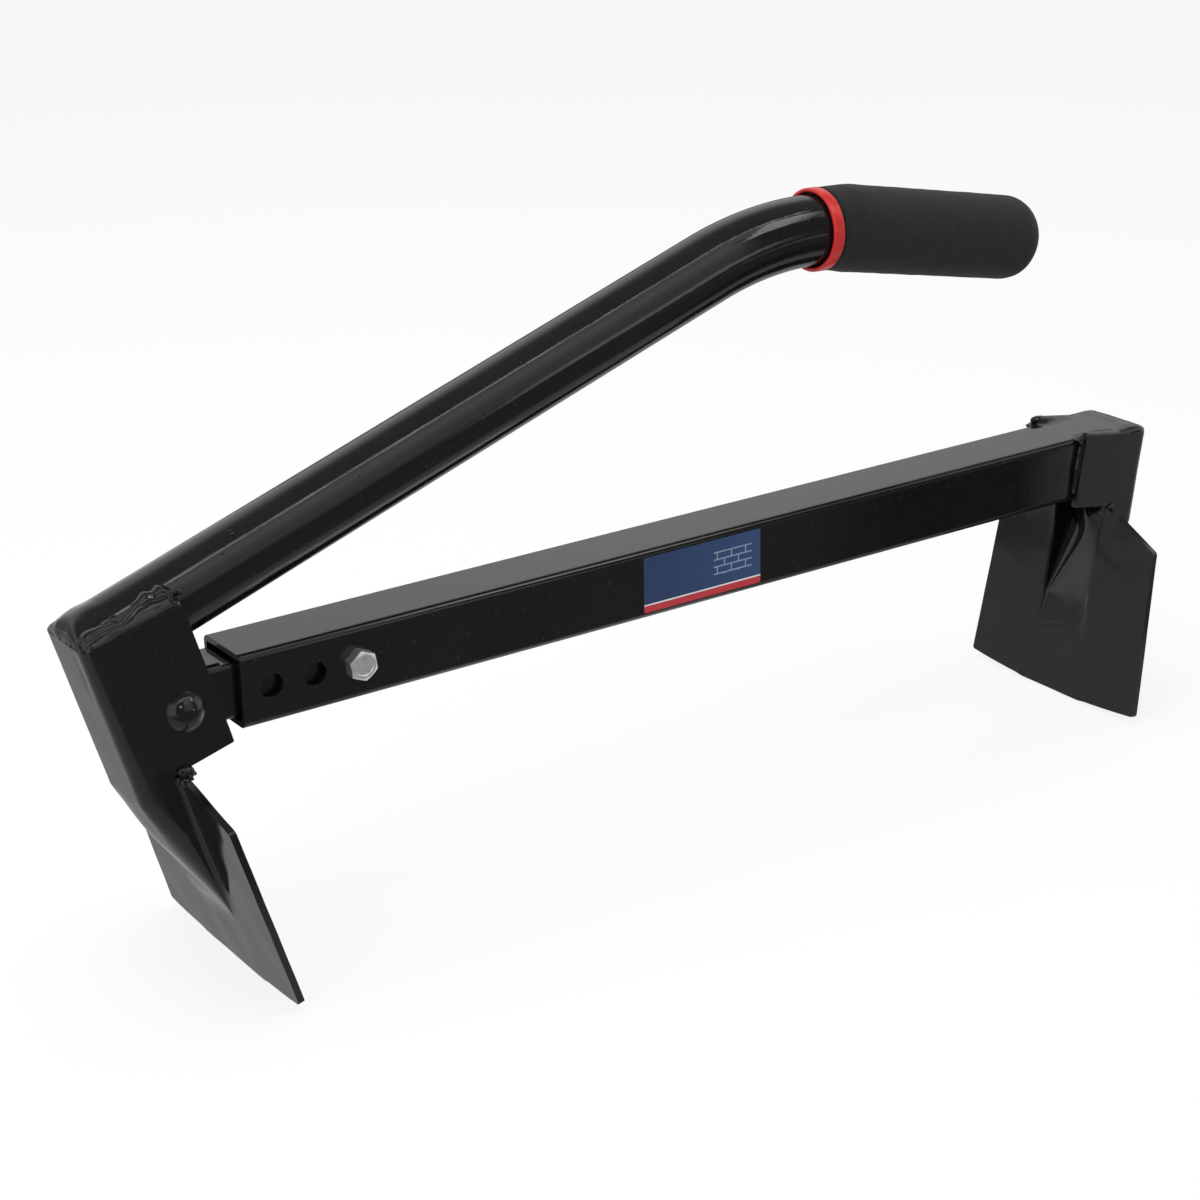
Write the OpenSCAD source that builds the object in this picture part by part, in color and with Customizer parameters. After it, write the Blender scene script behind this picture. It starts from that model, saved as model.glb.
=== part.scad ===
// Adjustable brick tongs. A square outer bar carries a fixed jaw at its right
// end. An inner bar slides in its left end, is set by a cross bolt, and carries
// the lever: a second jaw on a rivet, with a bent tube handle and a foam grip.
// Millimetres, +Z up. The tongs stand on both blades, and the origin is on the
// floor under the middle of their length. The mouth is the outer bar's left end.

/* [Bars] */
// outside width of the square outer bar
outer_w = 32; // [28:0.5:40]
// wall of the outer bar
outer_wall = 2.5; // [2:0.1:3.5]
// outside corner radius of the outer bar
outer_r = 3; // [1:0.1:5]
// length of the outer bar
outer_len = 498; // [440:1:600]
// play between the outer and the inner bar, on each side
slide_gap = 1.5; // [0.4:0.1:2]
// wall of the inner bar
inner_wall = 2; // [1.5:0.1:3]
// outside corner radius of the inner bar
inner_r = 2.2; // [1:0.1:3]
// wall of the sleeve that doubles the inner bar at the pivot
sleeve_wall = 1.5; // [1:0.1:2]
// reach of the sleeve from the pivot towards the mouth
sleeve_front = 20; // [16:0.5:24]

/* [Adjuster] */
// diameter of the adjusting holes in the outer bar
hole_d = 10.5; // [9.5:0.1:12]
// mouth of the outer bar to its first hole
hole_first = 13.5; // [10:0.5:18]
// pitch of the three holes in the outer bar
hole_pitch = 20; // [16:0.5:25]
// pitch of the holes in the inner bar
inner_pitch = 40; // [30:1:45]
// diameter of the bolt's shank
bolt_d = 8; // [6:0.1:9]
// radial play of the bolt in the inner bar's holes
bolt_play = 0.3; // [0.1:0.05:0.6]
// bolt head and nut across the flats
bolt_af = 13; // [10:0.1:15]
// height of the bolt's head
bolt_head_h = 5.3; // [4:0.1:7]
// height of the nut
nut_h = 6.5; // [5:0.1:9]
// outside diameter of the washer under the nut
washer_d = 17; // [14:0.5:24]
// thickness of that washer
washer_t = 1.6; // [1:0.1:2.5]

/* [Pivot] */
// mouth of the outer bar to the pivot at the shortest setting
pivot_out = 26.5; // [22:0.5:40]
// diameter of the rivet's shank
pivot_d = 10; // [8:0.1:12]
// radial play of the rivet in its holes
pivot_play = 0.08; // [0.02:0.01:0.1]
// diameter of the rivet's domed heads
rivet_head_d = 18; // [15:0.5:22]
// height of the rivet's domed heads
rivet_head_h = 6; // [3:0.1:7]
// inner bar past the pivot
inner_tail = 14; // [11:0.5:16]

/* [Jaws] */
// thickness of the jaw plate
plate_t = 3; // [2:0.1:4]
// play between a jaw's side walls and the outer bar
ear_gap = 0.5; // [0.3:0.1:1]
// outside radius of the folds
fold_r = 6; // [4.5:0.5:8]
// play between the sleeve's swing and the back of the channel
web_clear = 6; // [2:0.5:9]
// pivot line to the free edges of the side walls
ear_front = 14.5; // [12:0.5:18]
// side walls below the underside of the outer bar
ear_below = 6.5; // [3:0.5:9]
// depth of the pressed trough behind the blade
trough_depth = 16.3; // [10:0.1:18]
// straight part of the trough below the side walls
trough_straight = 9.5; // [5:0.5:14]
// length over which the trough runs out into the blade
trough_run = 63; // [45:1:66]
// width of the blade at its foot
blade_w = 117; // [90:1:140]
// width of the blade at its shoulders
shoulder_w = 107; // [84:1:130]
// pivot line to the blade's lower corners
blade_drop = 122; // [112:0.5:140]
// bow of the blade's lower edge below its corners
blade_bow = 3.5; // [1:0.1:6]
// slope of the shoulders, from the side wall to the blade's edge
shoulder_fall = 14; // [6:0.5:22]
// inward lean of the lever jaw at rest
lever_tilt = 15.5; // [11:0.5:18]
// inward lean of the fixed jaw
fixed_tilt = 9; // [4:0.5:12]

/* [Handle] */
// rise of the handle tube above the bar
handle_angle = 19; // [17:0.5:24]
// play between the tube and the jaw's side walls
tube_gap = 0.5; // [0.3:0.1:1]
// wall of the handle tube
handle_wall = 2; // [1.5:0.1:3]
// play between the tube and the sleeve's swing
handle_clear = 1.5; // [0.5:0.1:5]
// jaw's side walls above the tube's axis
ear_over = 5.4; // [3:0.1:8]
// tube axis, from above the pivot to the corner of the bend
handle_len = 330; // [280:1:400]
// turn of the bend
bend_angle = 29.8; // [20:0.1:36]
// radius of the bend on the tube's axis
bend_r = 160; // [110:1:190]

/* [Grip] */
// diameter of the foam grip
grip_d = 39.5; // [36:0.5:46]
// corner of the bend to the free end of the grip
grip_reach = 154; // [130:1:190]
// stretch of the bend that the foam covers
grip_lap = 18.5; // [10:0.5:24]
// rounding of the grip's free end
grip_round = 14; // [8:0.5:17]
// foam past the end of the tube
grip_cap = 8; // [5:0.5:12]
// diameter of the collar
collar_d = 37.5; // [35.5:0.5:44]
// length of the collar
collar_w = 6; // [4:0.5:10]
// rounding of the collar's edges
collar_round = 1.4; // [0.5:0.1:1.6]
// radial play of the collar on the tube
collar_play = 0.8; // [0.3:0.1:0.9]

/* [Label] */
// length of the label
label_len = 65; // [40:1:90]
// mouth of the outer bar to the label
label_at = 198; // [150:1:260]
// thickness of the label
label_t = 0.15; // [0.1:0.05:0.3]

/* [Welds] */
// radius of the beads along the plate edges
bead_r = 3; // [2:0.1:3.5]
// radius of the spots at the notches of the lever jaw
spot_r = 2.4; // [1.5:0.1:3]

/* [Hidden] */
$fn = 64;
hull_fn = 32;
eps = 0.01;
cut = 1;
skin = 0.06;
black = [0.10, 0.10, 0.11];
zinc = [0.74, 0.74, 0.70];

// Bars: what slides in what, with its play
inner_w = outer_w - 2 * (outer_wall + slide_gap);
sleeve_w = inner_w + 2 * sleeve_wall;
sleeve_reach = norm([inner_tail, sleeve_w / 2]);
outer_holes = 3;
inner_holes = 7;
bolt_at = hole_first + (outer_holes - 1) * hole_pitch;
inner_end = 16;
inner_len = pivot_out + inner_tail + bolt_at + (inner_holes - 1) * inner_pitch + inner_end;
pivot_hole_d = pivot_d + 2 * pivot_play;
thread_play = 0.05;

// Jaws: local x runs inwards from the pivot line, local z up the plate
channel_in = outer_w / 2 + ear_gap;
channel_out = channel_in + plate_t;
fold_in_r = fold_r - plate_t;
web_back = sleeve_reach + web_clear + plate_t;
web_in = web_back - plate_t;
ear_drop = outer_w / 2 + ear_below;
blade_out = trough_depth - web_back;
blade_in = blade_out + plate_t;
blade_low = blade_drop + blade_bow;
notch_drop = ear_drop + plate_t / 2;
trough_low = ear_drop + trough_straight;
trough_mid = trough_low + 0.4 * trough_run;
trough_end = trough_low + trough_run;
fixed_ear_rise = outer_w / 2 - 1.5;

// Handle: the tube lies between the side walls, clear of the sleeve's swing
handle_d = 2 * (channel_in - tube_gap);
handle_rise = (handle_d / 2 + sleeve_reach + handle_clear) / cos(handle_angle);
lever_ear_rise = handle_rise * cos(lever_tilt) + ear_over;
weld_angle = handle_angle - lever_tilt;
tube_back = (web_in + handle_rise * sin(lever_tilt)) / cos(weld_angle)
    - handle_d / 2 * tan(weld_angle) - tube_gap;
bend_len = bend_r * tan(bend_angle / 2);
bend_thin = 0.05;
bend_lap = 0.5;
lap_angle = grip_lap / bend_r * 180 / PI;
collar_seat = collar_w / 2 * (1 + collar_d / 2 / bend_r) + 0.1;
collar_turn = lap_angle + collar_seat / bend_r * 180 / PI;

// Heights above the floor, and places along the bar
bar_z = blade_low * cos(lever_tilt) - blade_out * sin(lever_tilt);
fixed_z = blade_low * cos(fixed_tilt) - blade_out * sin(fixed_tilt);
end_gap = fold_in_r / 2;
fixed_off = outer_len + end_gap
    - (web_in + (bar_z - outer_w / 2 - fixed_z) * sin(fixed_tilt)) / cos(fixed_tilt);
left_reach = pivot_out + web_back * cos(lever_tilt) + lever_ear_rise * sin(lever_tilt);
right_reach = fixed_off + web_back * cos(fixed_tilt) + fixed_ear_rise * sin(fixed_tilt);
mouth_x = (left_reach - right_reach) / 2;
pivot_x = mouth_x - pivot_out;
fixed_x = mouth_x + fixed_off;
bolt_x = mouth_x + bolt_at;

// Frames: the bar, the two jaws, the handle and the straight end of the grip
module bar_frame() {
    translate([0, 0, bar_z]) children();
}

module lever_frame() {
    translate([pivot_x, 0, bar_z]) rotate([0, -lever_tilt, 0]) children();
}

module fixed_frame() {
    translate([fixed_x, 0, fixed_z]) mirror([1, 0, 0]) rotate([0, -fixed_tilt, 0]) children();
}

module handle_frame() {
    translate([pivot_x, 0, bar_z + handle_rise]) rotate([0, -handle_angle, 0]) children();
}

module grip_frame() {
    handle_frame() translate([handle_len, 0, 0]) rotate([0, bend_angle, 0]) children();
}

// A square with rounded corners, about the origin
module rounded_square(w, r) {
    square([w - 2 * r, w], center = true);
    square([w, w - 2 * r], center = true);
    for (x = [-1, 1], y = [-1, 1])
        translate([x * (w / 2 - r), y * (w / 2 - r)]) circle(r);
}

// A bar of that section along X, from x to x + len
module square_bar(x, len, w, r) {
    translate([x, 0, 0]) rotate([90, 0, 90]) linear_extrude(len) rounded_square(w, r);
}

module square_tube(x, len, w, wall, r) {
    difference() {
        square_bar(x, len, w, r);
        square_bar(x - cut, len + 2 * cut, w - 2 * wall, max(r - wall, 0.4));
    }
}

// A round hole or pin along Y
module cross_cylinder(x, d, len) {
    translate([x, 0, 0]) rotate([90, 0, 0]) cylinder(d = d, h = len, center = true);
}

// Plan of a channel that is closed at x0 and open at x1, half as wide as half
module channel_plan(x0, x1, half, r) {
    translate([x0 + r, -half]) square([x1 - x0 - r, 2 * half]);
    translate([x0, r - half]) square([2 * r, 2 * (half - r)]);
    for (side = [-1, 1])
        translate([x0 + r, side * (half - r)]) circle(r);
}

// The folded upper part of a jaw: the web and the two side walls
module channel(rise) {
    translate([0, 0, -ear_drop]) linear_extrude(ear_drop + rise) difference() {
        channel_plan(-web_back, ear_front, channel_out, fold_r);
        channel_plan(-web_in, ear_front + cut, channel_in, fold_in_r);
    }
}

// The pressed trough, solid: it keeps the channel's plan, then runs out into the blade
module trough(inset, face, tip, rise) {
    mid_back = web_back - 0.28 * trough_depth;
    hull() {
        translate([0, 0, -trough_low]) linear_extrude(trough_straight + rise)
            channel_plan(inset - web_back, face, channel_out - inset, fold_r - inset, $fn = hull_fn);
        translate([0, 0, -trough_mid]) linear_extrude(cut)
            channel_plan(inset - mid_back, face, channel_out - inset, 1.8 * fold_r - inset, $fn = hull_fn);
        translate([tip, -fold_r, -trough_end]) cube([face - tip, 2 * fold_r, cut]);
    }
}

// Outline of the blade, across and up: its sides widen downwards, and its foot is an arc
module blade_outline() {
    bow_r = (pow(blade_w / 2, 2) + pow(blade_bow, 2)) / (2 * blade_bow);
    shoulder_drop = notch_drop + shoulder_fall;
    flare = (blade_w - shoulder_w) / 2 / (blade_drop - shoulder_drop);
    low = blade_low + cut;
    foot = shoulder_w / 2 + flare * (low - shoulder_drop);
    intersection() {
        polygon([
            [-channel_in - cut, -notch_drop], [-shoulder_w / 2, -shoulder_drop], [-foot, -low],
            [foot, -low], [shoulder_w / 2, -shoulder_drop], [channel_in + cut, -notch_drop]
        ]);
        translate([0, bow_r - blade_low]) circle(bow_r, $fn = 256);
    }
}

module blade() {
    translate([blade_out, 0, 0]) rotate([90, 0, 90]) linear_extrude(plate_t) blade_outline();
}

// A whole jaw: channel, trough and blade from one plate
module jaw(rise) {
    difference() {
        union() {
            channel(rise);
            trough(-skin, blade_in - skin, blade_out + 5 * skin, cut);
            blade();
        }
        trough(plate_t + skin, blade_in + cut, blade_in + 5 * skin, 2 * cut);
    }
}

// The tube's path, as a solid of diameter d from x = back of the straight to the end in the grip
module handle_path(d, back, front) {
    handle_frame() translate([back, 0, 0]) rotate([0, 90, 0])
        cylinder(d = d, h = handle_len - bend_len - back + bend_lap);
    bend_part(d, bend_angle);
    grip_frame() translate([bend_len - bend_lap, 0, 0]) rotate([0, 90, 0])
        cylinder(d = d, h = front - bend_len + bend_lap);
}

// The last part of the bend, over the given angle
module bend_part(d, angle) {
    handle_frame() translate([handle_len - bend_len, 0, -bend_r])
        rotate([90, 0, 0]) rotate([0, 0, 90 - bend_angle])
            rotate_extrude(angle = angle) translate([bend_r, 0]) circle(d = d - bend_thin);
}

// A round bead along local x with round ends
module bead(x0, x1, r) {
    translate([x0, 0, 0]) rotate([0, 90, 0]) cylinder(r = r, h = x1 - x0);
    translate([x0, 0, 0]) sphere(r);
    translate([x1, 0, 0]) sphere(r);
}

module outer_bar() {
    color(black) bar_frame() difference() {
        square_tube(mouth_x, outer_len, outer_w, outer_wall, outer_r);
        for (i = [0 : outer_holes - 1])
            cross_cylinder(mouth_x + hole_first + i * hole_pitch, hole_d, outer_w + 2 * cut);
    }
}

module inner_bar() {
    color(black) bar_frame() difference() {
        square_tube(pivot_x - inner_tail, inner_len, inner_w, inner_wall, inner_r);
        cross_cylinder(pivot_x, pivot_hole_d, inner_w + 2 * cut);
        for (i = [0 : inner_holes - 1])
            cross_cylinder(bolt_x + i * inner_pitch, bolt_d + 2 * bolt_play, inner_w + 2 * cut);
    }
}

module pivot_sleeve() {
    color(black) bar_frame() difference() {
        square_tube(pivot_x - inner_tail, inner_tail + sleeve_front, sleeve_w, sleeve_wall,
            inner_r + sleeve_wall);
        cross_cylinder(pivot_x, pivot_hole_d, sleeve_w + 2 * cut);
    }
}

module fixed_jaw() {
    color(black) fixed_frame() jaw(fixed_ear_rise);
}

module lever_jaw() {
    color(black) lever_frame() difference() {
        jaw(lever_ear_rise);
        cross_cylinder(0, pivot_hole_d, 2 * (channel_out + cut));
    }
}

module pivot_rivet() {
    dome_r = (pow(rivet_head_d / 2, 2) + pow(rivet_head_h, 2)) / (2 * rivet_head_h);
    color(black) lever_frame() {
        cross_cylinder(0, pivot_d, 2 * channel_out);
        for (side = [-1, 1]) intersection() {
            translate([0, side * (channel_out + rivet_head_h - dome_r), 0]) sphere(dome_r);
            translate([0, side * (channel_out + rivet_head_h / 2), 0])
                cube([2 * dome_r, rivet_head_h, 2 * dome_r], center = true);
        }
    }
}

module hex_prism(h) {
    cylinder(d = bolt_af / cos(30), h = h, $fn = 6);
}

module adjuster_bolt() {
    shank = outer_w + washer_t + nut_h + 2;
    color(zinc) translate([bolt_x, -outer_w / 2, bar_z]) {
        rotate([90, 0, 0]) intersection() {
            hex_prism(bolt_head_h);
            cylinder(d1 = bolt_af + 2.6 * bolt_head_h, d2 = 0.96 * bolt_af, h = bolt_head_h);
        }
        rotate([-90, 0, 0]) cylinder(d = bolt_d, h = shank);
    }
}

module adjuster_washer() {
    color(zinc) translate([bolt_x, outer_w / 2, bar_z]) rotate([-90, 0, 0]) difference() {
        cylinder(d = washer_d, h = washer_t);
        translate([0, 0, -cut]) cylinder(d = bolt_d + 2 * thread_play, h = washer_t + 2 * cut);
    }
}

module adjuster_nut() {
    color(zinc) translate([bolt_x, outer_w / 2 + washer_t, bar_z]) rotate([-90, 0, 0]) difference() {
        intersection() {
            hex_prism(nut_h);
            cylinder(d1 = bolt_af + 2.6 * nut_h, d2 = 0.96 * bolt_af, h = nut_h);
        }
        translate([0, 0, -cut]) cylinder(d = bolt_d + 2 * thread_play, h = nut_h + 2 * cut);
    }
}

module label_plate() {
    color([0.13, 0.26, 0.55]) bar_frame()
        translate([mouth_x + label_at, -outer_w / 2 - label_t, outer_r - outer_w / 2])
            cube([label_len, label_t, outer_w - 2 * outer_r]);
}

module handle_tube() {
    color(black) difference() {
        handle_path(handle_d, -tube_back, grip_reach - grip_cap);
        handle_path(handle_d - 2 * handle_wall, -tube_back - cut, grip_reach - grip_cap + cut);
    }
}

// Half section of the straight end of the grip, with its rounded end
module grip_section() {
    straight = grip_reach - bend_len - grip_round + bend_lap;
    flat_r = grip_d / 2 - grip_round;
    square([grip_d / 2, straight]);
    square([flat_r, straight + grip_round]);
    intersection() {
        translate([flat_r, straight]) circle(grip_round);
        square(grip_reach);
    }
}

module foam_grip() {
    color([0.20, 0.20, 0.20]) difference() {
        union() {
            grip_frame() translate([bend_len - bend_lap, 0, 0]) rotate([0, 90, 0])
                rotate_extrude() grip_section();
            bend_part(grip_d, lap_angle);
        }
        handle_path(handle_d, 0, grip_reach - grip_cap);
    }
}

module grip_collar() {
    ring = (collar_d - handle_d) / 2 - collar_play;
    edge = min(collar_round, ring / 2 - eps);
    color([0.72, 0.10, 0.12]) handle_frame() translate([handle_len - bend_len, 0, -bend_r])
        rotate([0, bend_angle - collar_turn, 0]) translate([-collar_w / 2, 0, bend_r])
            rotate([0, 90, 0]) rotate_extrude() translate([handle_d / 2 + collar_play, 0]) {
                translate([edge, 0]) square([ring - 2 * edge, collar_w]);
                translate([0, edge]) square([ring, collar_w - 2 * edge]);
                for (x = [edge, ring - edge], y = [edge, collar_w - edge])
                    translate([x, y]) circle(edge);
            }
}

// Bead on one side wall's top edge, against the handle tube
module handle_weld(side) {
    color(black) difference() {
        lever_frame() intersection() {
            translate([0, side * (channel_in + plate_t / 3), lever_ear_rise])
                bead(bead_r - web_in, ear_front - bead_r, bead_r);
            translate([-web_back, side > 0 ? 0 : -2 * channel_out, lever_ear_rise])
                cube([2 * web_back, 2 * channel_out, 2 * bead_r]);
        }
        handle_path(handle_d, -tube_back - bead_r, handle_len);
    }
}

module handle_weld_front() {
    handle_weld(-1);
}

module handle_weld_rear() {
    handle_weld(1);
}

// Weld that closes the tube's end above the web
module handle_weld_end() {
    fill = web_back + handle_rise * sin(lever_tilt) - tube_back;
    color(black) intersection() {
        handle_frame() translate([-tube_back - fill, 0, 0]) rotate([0, 90, 0])
            cylinder(d1 = handle_d - 3.2 * fill, d2 = handle_d, h = fill);
        lever_frame() translate([-web_back, -channel_out, lever_ear_rise])
            cube([web_back, 2 * channel_out, handle_d]);
    }
}

// Weld spot where a side wall's lower edge meets the blade's shoulder, behind the blade's inner face
module notch_weld(side) {
    half = channel_out + 2 * skin;
    color(black) lever_frame() difference() {
        translate([blade_out, side * channel_out, -ear_drop]) sphere(spot_r);
        channel(lever_ear_rise);
        blade();
        translate([-web_back, -half, -blade_drop]) cube([web_back + blade_in, 2 * half, blade_drop - ear_drop + cut]);
    }
}

module notch_weld_front() {
    notch_weld(-1);
}

module notch_weld_rear() {
    notch_weld(1);
}

// What the welds of the fixed jaw lie against: the bar and the folded plate
module fixed_corner() {
    bar_frame() square_bar(mouth_x, outer_len, outer_w, outer_r);
    fixed_frame() channel(fixed_ear_rise);
}

// Bead over the channel's top edges and across the end of the bar
module fixed_weld_top() {
    wall_y = channel_in + plate_t / 3;
    color(black) difference() {
        fixed_frame() {
            for (side = [-1, 1])
                translate([0, side * wall_y, fixed_ear_rise]) bead(-web_in, ear_front - bead_r, bead_r);
            translate([-web_in, 0, fixed_ear_rise]) rotate([0, 0, 90]) bead(-wall_y, wall_y, bead_r);
            translate([-web_in, -wall_y, fixed_ear_rise - bead_r]) cube([2 * bead_r, 2 * wall_y, 1.6 * bead_r]);
        }
        fixed_corner();
    }
}

// Upright bead along a side wall's free edge
module fixed_weld(side) {
    color(black) difference() {
        fixed_frame() translate([ear_front + bead_r / 5, side * (channel_in + ear_gap), 0]) rotate([0, -90, 0])
            bead(bead_r - outer_w / 2, fixed_ear_rise - 1.6 * bead_r, 0.75 * bead_r);
        fixed_corner();
    }
}

module fixed_weld_front() {
    fixed_weld(-1);
}

module fixed_weld_rear() {
    fixed_weld(1);
}

outer_bar();
fixed_jaw();
fixed_weld_top();
fixed_weld_front();
fixed_weld_rear();
adjuster_bolt();
adjuster_washer();
adjuster_nut();
label_plate();
inner_bar();
pivot_sleeve();
lever_jaw();
pivot_rivet();
handle_tube();
foam_grip();
grip_collar();
handle_weld_front();
handle_weld_rear();
handle_weld_end();
notch_weld_front();
notch_weld_rear();
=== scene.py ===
"""Looks of the adjustable brick tongs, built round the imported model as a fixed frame.

Sizes in the classes are millimetres. A mesh is brought to metres when it is put in its place.
"""

import logging
import math
from dataclasses import dataclass, field
from enum import Enum
from typing import Any, Callable, Optional, Sequence, Union

import bmesh
import bpy
from mathutils import Matrix, Vector, noise


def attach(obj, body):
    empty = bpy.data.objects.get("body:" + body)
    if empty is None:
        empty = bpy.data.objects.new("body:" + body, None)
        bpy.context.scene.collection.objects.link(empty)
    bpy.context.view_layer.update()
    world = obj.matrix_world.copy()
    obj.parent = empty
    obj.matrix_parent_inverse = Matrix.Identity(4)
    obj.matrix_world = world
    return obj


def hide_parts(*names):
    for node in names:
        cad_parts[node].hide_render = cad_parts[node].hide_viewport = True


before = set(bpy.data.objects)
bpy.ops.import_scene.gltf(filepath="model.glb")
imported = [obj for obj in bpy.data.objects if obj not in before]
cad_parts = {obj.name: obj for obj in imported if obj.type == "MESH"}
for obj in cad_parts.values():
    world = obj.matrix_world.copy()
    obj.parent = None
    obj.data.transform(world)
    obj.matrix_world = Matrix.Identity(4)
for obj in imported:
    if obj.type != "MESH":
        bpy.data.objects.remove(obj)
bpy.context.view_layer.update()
LOG = logging.getLogger("brick_tongs")
MM = 0.001
Mesh = bmesh.types.BMesh


class Body(Enum):
    """The bodies that pieces ride on."""

    BAR = "bar"
    SLIDER = "slider"
    LEVER = "lever"


class Slot(Enum):
    """The record's material slots."""

    BLACK = "black_paint"
    ZINC = "zinc_plate"
    RED = "red_collar"
    FOAM = "grip_foam"
    LABEL = "label_film"


class Side(Enum):
    """The two sides of the tongs across their length."""

    FRONT = -1
    REAR = 1


# ---------------------------------------------------------------- shader nodes

Number = Union["Term", float]
Inputs = dict[Union[int, str], Any]
Colour = tuple[float, float, float, float]
SEEING_RAYS = ("Camera", "Glossy", "Transmission")


class Term:
    """A shader socket that takes part in Python expressions."""

    def __init__(self, sheet: "NodeSheet", socket: bpy.types.NodeSocket) -> None:
        """Keep the socket and the sheet that adds nodes to its tree."""
        self.sheet = sheet
        self.socket = socket

    def math(self, operation: str, left: Number, right: Number = 0.0) -> "Term":
        """Add one Math node, and give its result."""
        return self.sheet.node("ShaderNodeMath", {"operation": operation}, {0: left, 1: right})

    def __add__(self, other: Number) -> "Term":
        """self + other."""
        return self.math("ADD", self, other)

    def __radd__(self, other: Number) -> "Term":
        """other + self."""
        return self.math("ADD", other, self)

    def __sub__(self, other: Number) -> "Term":
        """self - other."""
        return self.math("SUBTRACT", self, other)

    def __rsub__(self, other: Number) -> "Term":
        """other - self."""
        return self.math("SUBTRACT", other, self)

    def __mul__(self, other: Number) -> "Term":
        """self * other."""
        return self.math("MULTIPLY", self, other)

    def __rmul__(self, other: Number) -> "Term":
        """other * self."""
        return self.math("MULTIPLY", other, self)

    def __gt__(self, other: Number) -> "Term":
        """1 where self is above other, else 0."""
        return self.math("GREATER_THAN", self, other)

    def __lt__(self, other: Number) -> "Term":
        """1 where self is below other, else 0."""
        return self.math("LESS_THAN", self, other)

    def least(self, other: Number) -> "Term":
        """The smaller of two values."""
        return self.math("MINIMUM", self, other)

    def ramp(self, low: float, high: float) -> "Term":
        """A smooth step from 0 at low to 1 at high."""
        wanted: Inputs = {0: self, 1: low, 2: high, 3: 0.0, 4: 1.0}
        return self.sheet.node("ShaderNodeMapRange", {"interpolation_type": "SMOOTHSTEP"}, wanted)


class NodeSheet:
    """A material's or a world's node tree, filled from Python."""

    def __init__(self, tree: bpy.types.NodeTree) -> None:
        """Empty the tree and keep it."""
        self.tree = tree
        tree.nodes.clear()

    def node(
        self,
        kind: str,
        settings: Optional[dict[str, Any]] = None,
        inputs: Optional[Inputs] = None,
        out: Union[int, str] = 0,
    ) -> Term:
        """Add a node.

        Args:
            kind: The node's type name.
            settings: Its own settings, set first.
            inputs: The values or links of its sockets, by name or number.
            out: The output that is returned.

        Returns:
            That output.
        """
        made = self.tree.nodes.new(kind)
        for key, value in (settings or {}).items():
            setattr(made, key, value)
        for key, value in (inputs or {}).items():
            if isinstance(value, Term):
                self.tree.links.new(value.socket, made.inputs[key])
            else:
                made.inputs[key].default_value = value
        return Term(self, made.outputs[out])

    def place(self) -> Term:
        """The Object coordinates."""
        return self.node("ShaderNodeTexCoord", out="Object")

    def noise(self, place: Term, size: float, detail: float = 2.0, rough: float = 0.5) -> Term:
        """A noise about 0.5, with blotches of a size in millimetres."""
        wanted: Inputs = {"Vector": place, "Scale": 1000.0 / size, "Detail": detail, "Roughness": rough}
        return self.node("ShaderNodeTexNoise", None, wanted)

    def mix(self, factor: Number, first: Any, second: Any) -> Term:
        """Mix two colours: a factor of 0 gives the first, 1 the second."""
        return self.node("ShaderNodeMix", {"data_type": "RGBA"}, {0: factor, 6: first, 7: second}, 2)

    def axis(self, place: Term, letter: str) -> Term:
        """One coordinate of a place."""
        return self.node("ShaderNodeSeparateXYZ", None, {0: place}, letter)

    def glow(self, tint: Any) -> Term:
        """An emission of a colour."""
        return self.node("ShaderNodeEmission", None, {"Color": tint, "Strength": 1.0})

    def bump(self, height: Term, depth: float, strength: float, under: Optional[Term] = None) -> Term:
        """Turn a height into a normal.

        Args:
            height: The height, from 0 to 1.
            depth: What a height of 1 stands for, in millimetres.
            strength: The share of it that shows.
            under: A normal that this one builds on.

        Returns:
            The new normal.
        """
        wanted: Inputs = {"Height": height, "Distance": depth * MM, "Strength": strength}
        if under is not None:
            wanted["Normal"] = under
        return self.node("ShaderNodeBump", None, wanted)

    def principled(self, tint: Term, rough: Term, normal: Term, more: Optional[Inputs] = None) -> Term:
        """Add a Principled shader.

        Args:
            tint: Its colour.
            rough: Its roughness.
            normal: Its normal.
            more: Its other values, by name.

        Returns:
            The shader.
        """
        wanted: Inputs = {"Base Color": tint, "Roughness": rough, "Normal": normal}
        wanted.update(more or {})
        return self.node("ShaderNodeBsdfPrincipled", None, wanted)

    def output(self, shader: Term, kind: str = "ShaderNodeOutputMaterial") -> None:
        """Send a shader to an output node of a kind."""
        made = self.tree.nodes.new(kind)
        self.tree.links.new(shader.socket, made.inputs["Surface"])


def colour(red: float, green: float, blue: float) -> Colour:
    """An opaque linear colour."""
    return (red, green, blue, 1.0)


def grey(tone: float) -> Colour:
    """An opaque linear grey."""
    return colour(tone, tone, tone)


def seen(sheet: NodeSheet) -> Term:
    """1 for rays from the camera, from gloss and through glass, else 0."""
    eye, gloss, glass = (sheet.node("ShaderNodeLightPath", out=f"Is {kind} Ray") for kind in SEEING_RAYS)
    return (eye + gloss + glass).least(1.0)


# -------------------------------------------------------------------- finishes


@dataclass(frozen=True)
class Finish:
    """A named surface finish."""

    name: str

    def paint(self, sheet: NodeSheet) -> Term:
        """Build the shader; each finish has its own."""
        raise NotImplementedError

    def material(self) -> bpy.types.Material:
        """The finish as a material, made once."""
        found = bpy.data.materials.get(self.name)
        if found is None:
            found = bpy.data.materials.new(self.name)
            found.use_nodes = True
            sheet = NodeSheet(found.node_tree)
            sheet.output(self.paint(sheet))
        return found


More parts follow.
